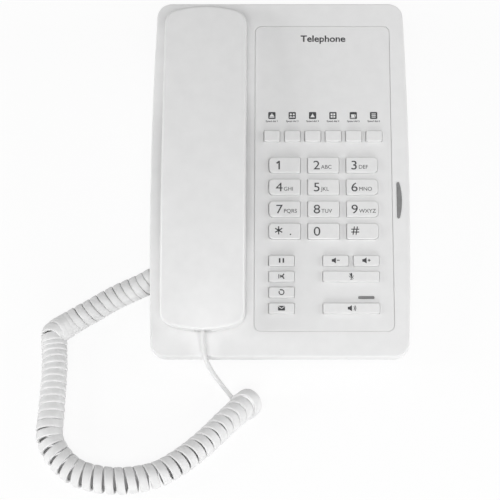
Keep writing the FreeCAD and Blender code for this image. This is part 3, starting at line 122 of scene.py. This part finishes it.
# Along the coil from its free end: distance, pitch of the turns, outside radius, tilt of the ribbon
# across a turn, and lean of the whole turn towards the free end, in millimetres and degrees.
COIL_SHAPE = [
    (0, 4.9, 8.9, 4, 41), (3, 4.9, 8.7, 4, 41), (6, 5.0, 7.9, 4, 40), (20, 5.1, 7.6, 4, 38),
    (34, 5.2, 7.6, 4, 31), (55, 5.6, 7.7, 3, 21), (90, 6.3, 7.9, 0, 9), (135, 6.2, 7.9, 0, 0),
    (153, 4.8, 7.8, -8, -7), (171, 3.95, 7.4, -13, -14), (195, 3.95, 7.4, -13, -14),
    (199, 3.4, 7.5, -11, -10), (204, 2.8, 7.6, -7, -8), (207, 3.3, 7.9, 0, -36), (211, 3.6, 7.8, 0, -32),
    (216, 5.0, 7.6, 2, 0), (220, 5.2, 7.5, 2, 12),
    (300, 5.1, 7.2, 4, 12),
]
# The coil's first turn starts here, low on its outer side, and its last one unwinds under the base.
COIL_START = 0.5
COIL_START_ANGLE = 300.0
UNWIND_FROM = 277.0
UNWIND_TO = 286.0
# Once unwound, each step goes this much further along, as a share of the pitch.
UNWIND_STRETCH = 1.5
# The ribbon itself leans by this share of its turn's lean.
RIBBON_LEAN = 0.2
# The lead stands on its edge, leaning a little, and lies down over this last stretch of it.
LEAD_UPWARDS = (-0.17, -0.12, 1.0)
LEAD_TWIST = 18.0
# The lead runs into the first turn over this distance, close to the table.
LEAD_JOIN = 7.0
LEAD_LOWEST = 1.9


def only(*objects):
    """Selects these objects alone and makes the first one active."""
    bpy.ops.object.select_all(action="DESELECT")
    for obj in objects:
        obj.select_set(True)
    bpy.context.view_layer.objects.active = objects[0]


def linear(code):
    """Linear colour of an sRGB hex value."""
    parts = [int(code[i:i + 2], 16) / 255 for i in (0, 2, 4)]
    return tuple(c / 12.92 if c <= 0.04045 else ((c + 0.055) / 1.055) ** 2.4 for c in parts) + (1.0,)


def add(tree, kind, inputs=None, **settings):
    """Adds a node; each input is a value, or another node's output to link to it."""
    node = tree.nodes.new(kind)
    for name, value in settings.items():
        setattr(node, name, value)
    for name, value in (inputs or {}).items():
        if isinstance(value, bpy.types.NodeSocket):
            tree.links.new(value, node.inputs[name])
        else:
            node.inputs[name].default_value = value
    return node


# The shade and the roughness go from one end of their range to the other between these noise values.
MOTTLE_SPAN = (0.3, 0.7)
GRAIN_SPAN = (0.25, 0.75)
MOTTLE_DETAIL = 3.0
GRAIN_DETAIL = 2.0


def surface(name, dark, light, mottle, rough, grain, depth, shader):
    """A finish that wanders between two close shades, with a fine relief; sizes in millimetres."""
    material = bpy.data.materials.new(name)
    material.use_nodes = True
    tree = material.node_tree
    tree.nodes.clear()
    place = add(tree, "ShaderNodeTexCoord").outputs["Object"]
    cloud = add(tree, "ShaderNodeTexNoise", {
        "Vector": place, "Scale": 1 / (mottle * MM), "Detail": MOTTLE_DETAIL,
    })
    ramp = add(tree, "ShaderNodeValToRGB", {"Fac": cloud.outputs["Fac"]})
    for element, position, shade in zip(ramp.color_ramp.elements, MOTTLE_SPAN, (dark, light)):
        element.position = position
        element.color = linear(shade)
    grit = add(tree, "ShaderNodeTexNoise", {
        "Vector": place, "Scale": 1 / (grain * MM), "Detail": GRAIN_DETAIL,
    })
    sheen = add(tree, "ShaderNodeMapRange", {
        "Value": grit.outputs["Fac"], "From Min": GRAIN_SPAN[0], "From Max": GRAIN_SPAN[1],
        "To Min": rough[0], "To Max": rough[1],
    })
    relief = add(tree, "ShaderNodeBump", {"Height": grit.outputs["Fac"], "Distance": depth * MM})
    body = add(tree, "ShaderNodeBsdfPrincipled", {
        "Base Color": ramp.outputs["Color"], "Roughness": sheen.outputs["Result"],
        "Normal": relief.outputs["Normal"], **shader,
    })
    add(tree, "ShaderNodeOutputMaterial", {"Surface": body.outputs["BSDF"]})
    return material


# What each stuff gives its shader.
ABS = {"IOR": 1.53}
POLYCARBONATE = {"IOR": 1.58}
PVC = {"IOR": 1.54}
ACETAL = {"IOR": 1.48}
NYLON = {"IOR": 1.53}
EPOXY = {"IOR": 1.55}
RUBBER = {"IOR": 1.52}
SILICONE = {"IOR": 1.41}
PAPER = {"IOR": 1.5}
INK = {"IOR": 1.5}
METAL = {"Metallic": 1.0}

# Each finish: name, darker and lighter shade, size of the shade's patches, range of roughness, size and
# depth of the grain, and the stuff. The real grain of these skins is about 0.1 to 0.2 mm, and it is drawn
# at 0.3 to 0.6 mm so that it shows.
FINISHES = {
    # Injection-moulded ABS with a spark-eroded skin: dull, faintly grainy, no clear reflections.
    "housing_plastic": surface("abs_spark_textured", "DDDDDD", "E1E1E1", 9, (0.48, 0.6), 0.45, 0.012, ABS),
    # The panel has the same skin, only finer: just as dull, a shade greyer than the housing round it.
    "faceplate_plastic": surface("abs_fine_matte", "DBDBDB", "DEDEDE", 7, (0.5, 0.62), 0.4, 0.01, ABS),
    # The handset's tool is smoother, and gives its back a broad, soft highlight.
    "handset_plastic": surface("abs_handset_satin", "DBDBDB", "DFDFDF", 9, (0.34, 0.44), 0.45, 0.01, ABS),
    # Key caps come from a polished tool, so they are smoother than the face and their edges shine softly.
    "key_plastic": surface("abs_key_satin", "DADADA", "DEDEDE", 4, (0.36, 0.46), 0.35, 0.006, ABS),
    # Natural acetal: white with a waxy shine.
    "plunger_plastic": surface("acetal_natural", "DCDCDA", "E2E2E0", 4, (0.3, 0.4), 0.4, 0.005, ACETAL),
    # Smoked polycarbonate lenses: glossy, grey through and through.
    "lens_plastic": surface(
        "polycarbonate_smoked", "777777", "838383", 3, (0.1, 0.18), 0.5, 0.004, POLYCARBONATE
    ),
    # Extruded PVC jacket: even and rather dull, with a slow waviness from the die instead of a grain.
    "cord_jacket": surface("pvc_cord_jacket", "D6D6D6", "DEDEDE", 6, (0.5, 0.6), 1.2, 0.02, PVC),
    # Clear polycarbonate from a polished tool: glassy, with a little milk in it.
    "plug_plastic": surface(
        "polycarbonate_clear", "EDEEEE", "F4F4F4", 2, (0.06, 0.12), 0.6, 0.004,
        {**POLYCARBONATE, "Transmission Weight": 0.6},
    ),
    # Moulded nylon: pale grey, half dull.
    "socket_plastic": surface("nylon_pale_grey", "C6C6C4", "CECECC", 2, (0.4, 0.5), 0.4, 0.008, NYLON),
    # Epoxy moulding compound: black and dry, with a fine grit.
    "black_plastic": surface("epoxy_moulding", "1A1A1A", "222222", 2, (0.45, 0.6), 0.3, 0.008, EPOXY),
    # Moulded silicone: soft grey, with no gloss.
    "silicone": surface("silicone_rubber", "B4B4B2", "BCBCBA", 5, (0.55, 0.7), 0.5, 0.01, SILICONE),
    # Moulded rubber: nearly black and dull, with a deep grain.
    "foot_rubber": surface("moulded_rubber", "232323", "2C2C2C", 3, (0.7, 0.85), 0.4, 0.03, RUBBER),
    # Solder mask: a green lacquer that shines, wavy over the tracks below it.
    "circuit_board": surface("solder_mask_green", "174A26", "1E5A2F", 3, (0.2, 0.35), 1.5, 0.02, EPOXY),
    # Lacquered iron: dark, with a broken shine.
    "core_iron": surface("lacquered_iron", "3A3A3B", "48484A", 2, (0.4, 0.55), 0.5, 0.02, METAL),
    # Drawn aluminium: bright and smooth, with soft reflections.
    "can_aluminium": surface("drawn_aluminium", "C4C6C8", "D2D3D4", 2, (0.25, 0.38), 0.4, 0.006, METAL),
    # Zinc on pressed steel and on screws: cloudy grey metal, a little brighter on the screws.
    "pressed_steel": surface("zinc_plated_steel", "8E9092", "A2A4A6", 3, (0.3, 0.45), 0.5, 0.01, METAL),
    "screw_steel": surface("zinc_plated_screw", "9A9C9E", "AEB0B2", 1, (0.25, 0.4), 0.3, 0.006, METAL),
    # Coated paper: nearly black, dry and fibrous.
    "cone_film": surface("coated_paper_cone", "2A2A2A", "343434", 2, (0.6, 0.8), 0.6, 0.03, PAPER),
    # Cast epoxy of the diodes: pale amber and glossy.
    "diode_epoxy": surface("clear_epoxy", "D8CFA4", "E2DAB4", 1, (0.1, 0.2), 0.5, 0.004, EPOXY),
}
# Screen-printed ink: flat, and slightly uneven where the mesh of the screen left it thin.
DARK_INK = surface("screen_ink_grey", "2E2E30", "38383A", 0.6, (0.55, 0.7), 0.3, 0.004, INK)
PALE_INK = surface("screen_ink_white", "DCDCDC", "E4E4E4", 0.6, (0.55, 0.7), 0.3, 0.004, INK)


def dress_cad_nodes():
    """Gives every solid the finish of its slot in the record."""
    for part in frame["record"]["subparts"]:
        obj = frame["nodes"][part["node"]]
        obj.data.materials.clear()
        obj.data.materials.append(FINISHES[part["material_slot"]])


def lay_flat():
    """Bakes the active object's place into its mesh."""
    bpy.ops.object.transform_apply(location=True, rotation=True, scale=True)
    return bpy.context.object


def edit(kind):
    """Goes into edit mode on the active object, to pick corners or faces."""
    bpy.context.tool_settings.mesh_select_mode = (kind == "VERT", False, kind == "FACE")
    bpy.ops.object.mode_set(mode="EDIT")


def pick(kind, elements, wanted):
    """Goes into edit mode with the wanted corners or faces of the active object selected."""
    edit(kind)
    bpy.ops.mesh.select_all(action="DESELECT")
    bpy.ops.object.mode_set(mode="OBJECT")
    for element in elements:
        element.select = wanted(element)
    edit(kind)


def bar(x, y, width, height, turn=0.0, corner=0.0):
    """A filled oblong, turned by some degrees, with rounded corners if asked."""
    bpy.ops.object.select_all(action="DESELECT")
    bpy.ops.mesh.primitive_plane_add(size=1)
    obj = bpy.context.object
    obj.scale = (width, height, 1)
    lay_flat()
    if corner:
        edit("VERT")
        bpy.ops.mesh.select_all(action="SELECT")
        bpy.ops.mesh.bevel(offset=corner, segments=CORNER_STEPS, affect="VERTICES")
        bpy.ops.object.mode_set(mode="OBJECT")
    obj.rotation_euler.z = math.radians(turn)
    obj.location = (x, y, 0)
    return lay_flat()


def disc(x, y, radius, sides=DISC_SIDES, turn=0.0):
    """A filled circle, or with three sides a triangle, which points up until it is turned."""
    bpy.ops.object.select_all(action="DESELECT")
    bpy.ops.mesh.primitive_circle_add(
        vertices=sides, radius=radius, fill_type="NGON", location=(x, y, 0),
        rotation=(0, 0, math.radians(turn)),
    )
    return lay_flat()


def wedge(x, y, width, left, right):
    """An oblong whose left and right ends have different heights."""
    obj = bar(0, 0, width, left)
    pick("VERT", obj.data.vertices, lambda vertex: vertex.co.x > 0)
    bpy.ops.transform.resize(value=(1, right / left, 1), center_override=(0, 0, 0))
    bpy.ops.object.mode_set(mode="OBJECT")
    obj.location = (x, y, 0)
    return lay_flat()


def band(x, y, outer, inner, start, end):
    """Part of a flat ring, from one angle to another in degrees; with no inner radius, of a disc."""
    bpy.ops.object.select_all(action="DESELECT")
    bpy.ops.mesh.primitive_circle_add(vertices=RING_SIDES, radius=outer, fill_type="NOTHING")
    obj = bpy.context.object
    edit("VERT")
    bpy.ops.mesh.select_all(action="SELECT")
    bpy.ops.mesh.extrude_region_move()
    bpy.ops.transform.resize(value=(inner / outer, inner / outer, 1), center_override=(0, 0, 0))
    bpy.ops.mesh.remove_doubles()
    bpy.ops.object.mode_set(mode="OBJECT")

    def beyond(face):
        angle = math.degrees(math.atan2(face.center.y, face.center.x))
        return (angle - start) % 360 > end - start

    pick("FACE", obj.data.polygons, beyond)
    bpy.ops.mesh.delete(type="FACE")
    bpy.ops.object.mode_set(mode="OBJECT")
    obj.location = (x, y, 0)
    return lay_flat()


def words(x, y, text, height, weight=0.0, align="LEFT", stretch=1.0):
    """Lettering whose capitals have a given height, standing on y; weight thickens its strokes."""
    bpy.ops.object.select_all(action="DESELECT")
    bpy.ops.object.text_add()
    obj = bpy.context.object
    obj.data.body = text
    obj.data.size = height / CAPITAL_HEIGHT
    obj.data.offset = weight
    obj.data.align_x = align
    obj.data.resolution_u = LETTER_STEPS
    bpy.ops.object.convert(target="MESH")
    obj = bpy.context.object
    obj.location = (x, y, 0)
    obj.scale = (stretch, 1, 1)
    return lay_flat()


def sign(name, shapes, across, along, above, body, ink=None):
    """Joins shapes into one print, gives it the thickness of ink and lays it on the face."""
    only(*shapes)
    bpy.ops.object.join()
    obj = bpy.context.object
    obj.name = name
    edit("VERT")
    bpy.ops.mesh.select_all(action="SELECT")
    bpy.ops.mesh.extrude_region_move(TRANSFORM_OT_translate={"value": (0, 0, INK_THICKNESS)})
    bpy.ops.mesh.select_all(action="SELECT")
    bpy.ops.mesh.normals_make_consistent(inside=False)
    bpy.ops.object.mode_set(mode="OBJECT")
    spot = Vector((across, along, above + INK_LIFT)) * MM
    obj.matrix_world = FACE @ Matrix.Translation(spot) @ Matrix.Scale(MM, 4)
    lay_flat()
    obj.data.materials.clear()
    obj.data.materials.append(ink or DARK_INK)
    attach(obj, body)


# Lettering of the dial keys, in millimetres from the middle of a key.
DIGIT_HEIGHT = 5.4
DIGIT_FOOT = -2.9
DIGIT_STRETCH = 1.15
DIGIT_STROKE = 0.9
LETTER_HEIGHT = 2.35
LETTER_FOOT = -2.5
# From a dial key's left edge to its digit, in each column, and from the digit to its letters.
DIGIT_INDENT = (4.1, 3.3, 2.6)
LETTER_INDENT = 4.9
DIAL_SIGNS = [
    ("1", ""), ("2", "ABC"), ("3", "DEF"), ("4", "GHI"), ("5", "JKL"), ("6", "MNO"),
    ("7", "PQRS"), ("8", "TUV"), ("9", "WXYZ"), ("star", ""), ("0", ""), ("hash", ""),
]


def draw_one(left):
    """The figure one: a stem and a flag, with no foot."""
    top = DIGIT_FOOT + DIGIT_HEIGHT
    stem = bar(left + 2.2, DIGIT_FOOT + DIGIT_HEIGHT / 2, DIGIT_STROKE, DIGIT_HEIGHT)
    flag = bar(left + 1.45, top - 0.95, 2.1, DIGIT_STROKE, turn=38)
    return [stem, flag]


def draw_star(left):
    """Three crossed bars, and a dot to the right of them."""
    length = 5.0
    stroke = 0.7
    star = [bar(left + 1.9, 0.4, stroke, length, turn) for turn in (0, 60, 120)]
    dot = disc(left + 9.0, DIGIT_FOOT + 0.8, 0.45)
    return star + [dot]


def draw_hash(left):
    """Two slanted uprights across two level bars."""
    across = left + 2.4
    along = 0.2
    stroke = 0.6
    uprights = [bar(across + x, along, stroke, 5.2, turn=-10) for x in (-0.9, 0.9)]
    levels = [bar(across, along + y, 4.8, stroke) for y in (-0.85, 0.85)]
    return uprights + levels


DRAWN_SIGNS = {"1": draw_one, "star": draw_star, "hash": draw_hash}


def print_dial():
    """Digits and letters on the twelve keys of the dial."""
    for i, (label, letters) in enumerate(DIAL_SIGNS):
        row, column = divmod(i, DIAL_COLUMNS)
        left = -DIAL_WIDTH / 2 + DIGIT_INDENT[column]
        if label in DRAWN_SIGNS:
            shapes = DRAWN_SIGNS[label](left)
        else:
            shapes = [words(left, DIGIT_FOOT, label, DIGIT_HEIGHT, stretch=DIGIT_STRETCH)]
        if letters:
            shapes.append(words(left + LETTER_INDENT, LETTER_FOOT, letters, LETTER_HEIGHT))
        across = PANEL_MIDDLE + (column - (DIAL_COLUMNS - 1) / 2) * DIAL_PITCH
        along = DIAL_FIRST_ROW - row * DIAL_ROW_PITCH
        sign(f"dial_sign_{label}", shapes, across, along, KEY_RISE, f"dial_button_{label}")


def function_row(row):
    """How far along the face a row of function keys is, counted from the top row."""
    return FUNCTION_FIRST_ROW - row * FUNCTION_ROW_PITCH


def loudspeaker_sign(x):
    """A loudspeaker from the side, its mouth to the right."""
    box = bar(x - 0.95, 0, 0.9, 1.6)
    horn = wedge(x + 0.3, 0, 1.6, 1.6, 3.6)
    return [box, horn]


def print_left_keys():
    """Hold, transfer, redial and message, from the top down."""
    pause = [bar(x, 0, 0.95, 2.8) for x in (-1.1, 1.1)]
    sign("hold_sign", pause, LEFT_KEYS, function_row(0), KEY_RISE, "hold_button")

    stop = bar(-1.6, 0, 0.45, 2.6)
    arrow = disc(-0.2, 0, 1.15, sides=3, turn=-90)
    wave = band(2.3, 0, 1.9, 1.2, 115, 245)
    sign("transfer_sign", [stop, arrow, wave], LEFT_KEYS, function_row(1), KEY_RISE, "transfer_button")

    ring = band(0, 0, 1.75, 1.15, 150, 455)
    tip = disc(-0.5, 1.45, 0.7, sides=3, turn=98)
    sign("redial_sign", [ring, tip], LEFT_KEYS, function_row(2), KEY_RISE, "redial_button")

    row = function_row(3)
    envelope = bar(0, 0, 4.2, 2.8, corner=0.3)
    sign("message_sign", [envelope], LEFT_KEYS, row, KEY_RISE, "message_button")
    flap = [bar(side * 0.95, 0.45, 2.3, 0.42, turn=side * 33) for side in (-1, 1)]
    sign("message_sign_flap", flap, LEFT_KEYS, row, KEY_RISE + INK_THICKNESS, "message_button", PALE_INK)


def print_right_keys():
    """Volume down and up side by side, then mute and, in the lowest row, speaker."""
    minus = bar(1.5, 0.1, 1.7, 0.5)
    quieter = loudspeaker_sign(-1.0) + [minus]
    sign("volume_down_sign", quieter, VOLUME_DOWN, function_row(0), KEY_RISE, "volume_down_button")

    plus = [bar(1.6, 0.1, 1.7, 0.5), bar(1.6, 0.1, 0.5, 1.7)]
    louder = loudspeaker_sign(-1.0) + plus
    sign("volume_up_sign", louder, VOLUME_UP, function_row(0), KEY_RISE, "volume_up_button")

    capsule = bar(0, 0.8, 1.1, 2.4, corner=0.5)
    cradle = band(0, 0.5, 1.4, 1.1, 180, 360)
    stem = bar(0, -1.2, 0.4, 1.0)
    foot = bar(0, -1.8, 1.5, 0.35)
    strike = bar(0, 0.1, 0.3, 4.2, turn=38)
    muted = [capsule, cradle, stem, foot, strike]
    sign("mute_sign", muted, WIDE_KEYS, function_row(1), KEY_RISE, "mute_button")

    waves = [band(0.1, 0, inner + 0.4, inner, -38, 38) for inner in (1.4, 2.2)]
    speaker = loudspeaker_sign(-0.9) + waves
    sign("speaker_sign", speaker, WIDE_KEYS, function_row(3), KEY_RISE, "speaker_button")


# Signs on the panel, in millimetres from the middle of the face.
ICON_ROW = 37.7
ICON_SIDE = 4.5
ICON_CORNER = 0.6
CAPTION_ROW = 33.6
CAPTION_HEIGHT = 1.1
CAPTION_WEIGHT = 0.02
TITLE_MIDDLE = 26.9
TITLE_ROW = 85.6
TITLE_HEIGHT = 4.0
TITLE_WEIGHT = 0.13
TITLE_STRETCH = 1.12


def icon_marks():
    """Plain pictograms for the speed-dial keys, drawn in pale ink on a dark square."""
    bell = [band(0, -0.6, 1.3, 0.0, 0, 180), bar(0, -1.05, 3.0, 0.5), disc(0, 1.0, 0.35)]
    heads = [disc(x, 0.75, 0.6) for x in (-0.9, 0.9)]
    shoulders = [band(x, -1.3, 0.85, 0.0, 0, 180) for x in (-0.9, 0.9)]
    tent = [disc(0, -0.3, 1.6, sides=3)]
    grid = [bar(x, y, 1.15, 1.15, corner=0.2) for x in (-0.8, 0.8) for y in (-0.8, 0.8)]
    cup = [bar(-0.3, -0.2, 2.0, 1.9), band(0.8, -0.1, 0.8, 0.45, -90, 90), bar(-0.2, -1.5, 2.9, 0.35)]
    notes = [bar(0, y, 2.6, 0.45) for y in (-1.0, 0.0, 1.0)]
    return [bell, heads + shoulders, tent, grid, cup, notes]


def print_title():
    """The word at the top of the panel."""
    title = words(0, 0, "Telephone", TITLE_HEIGHT, TITLE_WEIGHT, align="CENTER", stretch=TITLE_STRETCH)
    sign("title", [title], TITLE_MIDDLE, TITLE_ROW, 0, "base")


def print_speed_dial():
    """A pictogram and its caption over each speed-dial key."""
    icons = icon_marks()
    for i, marks in enumerate(icons):
        across = PANEL_MIDDLE + (i - (len(icons) - 1) / 2) * MEMORY_PITCH
        square = bar(0, 0, ICON_SIDE, ICON_SIDE, corner=ICON_CORNER)
        sign(f"speed_dial_square_{i + 1}", [square], across, ICON_ROW, 0, "base")
        sign(f"speed_dial_mark_{i + 1}", marks, across, ICON_ROW, INK_THICKNESS, "base", PALE_INK)
        caption = words(0, 0, f"Speed dial {i + 1}", CAPTION_HEIGHT, CAPTION_WEIGHT, align="CENTER")
        sign(f"speed_dial_caption_{i + 1}", [caption], across, CAPTION_ROW, 0, "base")


def smooth_line(route):
    """Points, in metres, along a smooth curve that has the route's points as its control points."""
    curve = bpy.data.curves.new("cord_line", "CURVE")
    curve.dimensions = "3D"
    curve.resolution_u = LINE_STEPS
    spline = curve.splines.new("NURBS")
    spline.points.add(len(route) - 1)
    for point, place in zip(spline.points, route):
        point.co = (*place, 1.0)
    spline.order_u = 3
    spline.use_endpoint_u = True
    holder = bpy.data.objects.new("cord_line", curve)
    line = bpy.data.meshes.new_from_object(holder)
    points = [vertex.co.copy() for vertex in line.vertices]
    bpy.data.objects.remove(holder)
    bpy.data.curves.remove(curve)
    bpy.data.meshes.remove(line)
    return points


def distances(points):
    """How far along the line each point is."""
    total = [0.0]
    for before, after in zip(points, points[1:]):
        total.append(total[-1] + (after - before).length)
    return total


def between(rows, place):
    """The row for a place in a list of rows that start with their place, by straight interpolation."""
    for low, high in zip(rows, rows[1:]):
        if place <= high[0]:
            share = max(0.0, (place - low[0]) / (high[0] - low[0]))
            return [a + (b - a) * share for a, b in zip(low[1:], high[1:])]
    return list(rows[-1][1:])


def ease(share):
    """Goes from 0 to 1 with a gentle start and end."""
    share = min(1.0, max(0.0, share))
    return share * share * (3 - 2 * share)


def coil_points():
    """The strand of the coil, and the way its broad side faces, from its free end to the plug."""
    axis = smooth_line([Vector(place) * MM for place in COIL_ROUTE])
    along = distances(axis)
    strand = []
    place, angle, i = COIL_START, math.radians(COIL_START_ANGLE), 0
    while place * MM < along[-1]:
        while along[i + 1] < place * MM and i < len(axis) - 2:
            i += 1
        share = (place * MM - along[i]) / (along[i + 1] - along[i])
        centre = axis[i].lerp(axis[i + 1], share)
        ahead = axis[min(i + LINE_AHEAD, len(axis) - 1)]
        behind = axis[max(i - LINE_BEHIND, 0)]
        forward = (ahead - behind).normalized()
        side = UPWARDS.cross(forward).normalized()
        up = forward.cross(side)
        pitch, radius, tilt, lean = between(COIL_SHAPE, place)
        unwound = ease((place - UNWIND_FROM) / (UNWIND_TO - UNWIND_FROM))
        reach = (radius - RIBBON_THICKNESS / 2) * (1 - unwound) * MM
        outward = side * math.cos(angle) + up * math.sin(angle)
        leaning = forward * (reach * math.sin(angle) * math.tan(math.radians(lean)))
        tilt = math.radians(tilt) * (1 - unwound)
        broad = forward + up * math.tan(math.radians(lean * RIBBON_LEAN)) + outward * math.tan(tilt)
        if unwound > 0:
            broad = broad.lerp(up, unwound)
        strand.append((centre + outward * reach - leaning, broad))
        angle += 2 * math.pi / STEPS_PER_TURN
        place += pitch / STEPS_PER_TURN * (1 + UNWIND_STRETCH * unwound)
    return strand


def cord_points():
    """The whole strand from the handset's plug to the base's plug, with its broad side's direction."""
    coil = coil_points()
    start, heading = coil[0][0], (coil[1][0] - coil[0][0]).normalized()
    approach = start - heading * LEAD_JOIN * MM
    approach.z = max(approach.z, LEAD_LOWEST * MM)
    lead = smooth_line([Vector(place) * MM for place in LEAD_ROUTE] + [approach, start])
    along = distances(lead)
    strand = []
    for point, done in zip(lead[:-1], along):
        lying = ease(1 - (along[-1] - done) / (LEAD_TWIST * MM))
        strand.append((point, Vector(LEAD_UPWARDS).lerp(coil[0][1], lying)))
    return strand + coil


def ribbon_section():
    """The outline of the flat cord: an oblong with well rounded corners, in metres."""
    outline = []
    for i in range(RIBBON_SIDES):
        angle = 2 * math.pi * (i + 0.5) / RIBBON_SIDES
        across, deep = math.cos(angle), math.sin(angle)
        outline.append((
            math.copysign(abs(across) ** RIBBON_ROUNDNESS, across) * RIBBON_WIDTH / 2 * MM,
            math.copysign(abs(deep) ** RIBBON_ROUNDNESS, deep) * RIBBON_THICKNESS / 2 * MM,
        ))
    return outline


def make_cord():
    """The whole cord as one flat ribbon, which stands for the cord's three solids."""
    strand = cord_points()
    path = [point for point, _ in strand]
    section = ribbon_section()
    corners, faces = [], []
    for i, (point, broad) in enumerate(strand):
        forward = (path[min(i + 1, len(path) - 1)] - path[max(i - 1, 0)]).normalized()
        broad = (broad - forward * broad.dot(forward)).normalized()
        thick = forward.cross(broad)
        corners += [point + broad * across + thick * deep for across, deep in section]
    count = len(section)
    for ring in range(len(path) - 1):
        for i in range(count):
            j = (i + 1) % count
            low, high = ring * count, (ring + 1) * count
            faces.append((low + i, low + j, high + j, high + i))
    last = (len(path) - 1) * count
    faces.append(tuple(reversed(range(count))))
    faces.append(tuple(range(last, last + count)))
    mesh = bpy.data.meshes.new("curly_cord_strand")
    mesh.from_pydata(corners, [], faces)
    cord = bpy.data.objects.new("curly_cord_strand", mesh)
    bpy.context.scene.collection.objects.link(cord)
    only(cord)
    bpy.ops.object.shade_smooth()
    mesh.materials.append(FINISHES["cord_jacket"])
    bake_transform(cord)
    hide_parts("handset_lead", "curly_cord", "base_lead")


# The table's side in metres, its paint, and the share of plain white that the camera sees on it.
TABLE_SIZE = 6.0
TABLE_PAINT = "F2F2F2"
TABLE_GLOW = 0.9
# How much light the room gives.
ROOM_LIGHT = 0.25
WHITE = (1, 1, 1, 1)


def seen_directly(tree):
    """1 for rays that show the background to the eye, straight or by reflection, and 0 for light."""
    path = add(tree, "ShaderNodeLightPath")
    straight, mirrored, through = (
        path.outputs[name] for name in ("Is Camera Ray", "Is Glossy Ray", "Is Transmission Ray")
    )
    either = add(tree, "ShaderNodeMath", {0: straight, 1: mirrored}, operation="MAXIMUM")
    return add(tree, "ShaderNodeMath", {0: either.outputs[0], 1: through}, operation="MAXIMUM").outputs[0]


def set_table():
    """A white table, which the camera sees as white but for the shadows on it."""
    bpy.ops.object.select_all(action="DESELECT")
    bpy.ops.mesh.primitive_plane_add(size=TABLE_SIZE)
    table = bpy.context.object
    table.name = "table"
    material = bpy.data.materials.new("white_table")
    material.use_nodes = True
    tree = material.node_tree
    tree.nodes.clear()
    paint = add(tree, "ShaderNodeBsdfDiffuse", {"Color": linear(TABLE_PAINT)})
    white = add(tree, "ShaderNodeEmission", {"Color": WHITE, "Strength": 1.0})
    share = add(tree, "ShaderNodeMath", {0: seen_directly(tree), 1: TABLE_GLOW}, operation="MULTIPLY")
    both = add(tree, "ShaderNodeMixShader", {0: share.outputs[0], 1: paint.outputs[0], 2: white.outputs[0]})
    add(tree, "ShaderNodeOutputMaterial", {"Surface": both.outputs[0]})
    table.data.materials.append(material)


def set_room():
    """A room that the camera sees as white and that gives a little light from all sides."""
    world = bpy.data.worlds.new("white_room")
    bpy.context.scene.world = world
    world.use_nodes = True
    tree = world.node_tree
    tree.nodes.clear()
    light = add(tree, "ShaderNodeBackground", {"Color": WHITE, "Strength": ROOM_LIGHT})
    white = add(tree, "ShaderNodeBackground", {"Color": WHITE, "Strength": 1.0})
    share = seen_directly(tree)
    both = add(tree, "ShaderNodeMixShader", {0: share, 1: light.outputs[0], 2: white.outputs[0]})
    add(tree, "ShaderNodeOutputWorld", {"Surface": both.outputs[0]})


# Soft boxes: place, the point each faces, width and height in metres, and power in watts.
SOFT_BOXES = {
    "left_box": ((-1.0, -0.1, 0.42), (0, 0, 0.03), 0.25, 0.5, 4.4),
    "right_box": ((1.0, -0.1, 0.42), (0, 0, 0.03), 0.25, 0.5, 4.4),
    "front_box": ((0.0, -1.4, 0.4), (0, -0.05, 0.03), 1.2, 0.5, 9.0),
    "top_box": ((0.0, -0.8, 1.7), (0, 0, 0.03), 1.2, 0.6, 12.5),
}


def set_lights():
    for name, (place, target, width, height, power) in SOFT_BOXES.items():
        bpy.ops.object.light_add(type="AREA", location=place)
        lamp = bpy.context.object
        lamp.name = name
        lamp.rotation_euler = (Vector(target) - Vector(place)).to_track_quat("-Z", "Y").to_euler()
        lamp.data.shape = "RECTANGLE"
        lamp.data.size = width
        lamp.data.size_y = height
        lamp.data.energy = power


# The camera's place in metres, its tilt from straight down, its lens, and how far the picture is shifted.
CAMERA_PLACE = (0.0, -0.2290, 0.6050)
CAMERA_TILT = 17.5
CAMERA_LENS = 72.07
CAMERA_SHIFT = -0.06


def set_camera():
    bpy.ops.object.camera_add(location=CAMERA_PLACE, rotation=(math.radians(CAMERA_TILT), 0, 0))
    camera = bpy.context.object
    camera.data.lens = CAMERA_LENS
    camera.data.shift_x = CAMERA_SHIFT
    bpy.context.scene.camera = camera
    bpy.context.scene.view_settings.view_transform = "Standard"


dress_cad_nodes()
print_dial()
print_left_keys()
print_right_keys()
print_speed_dial()
print_title()
make_cord()
set_table()
set_room()
set_lights()
set_camera()
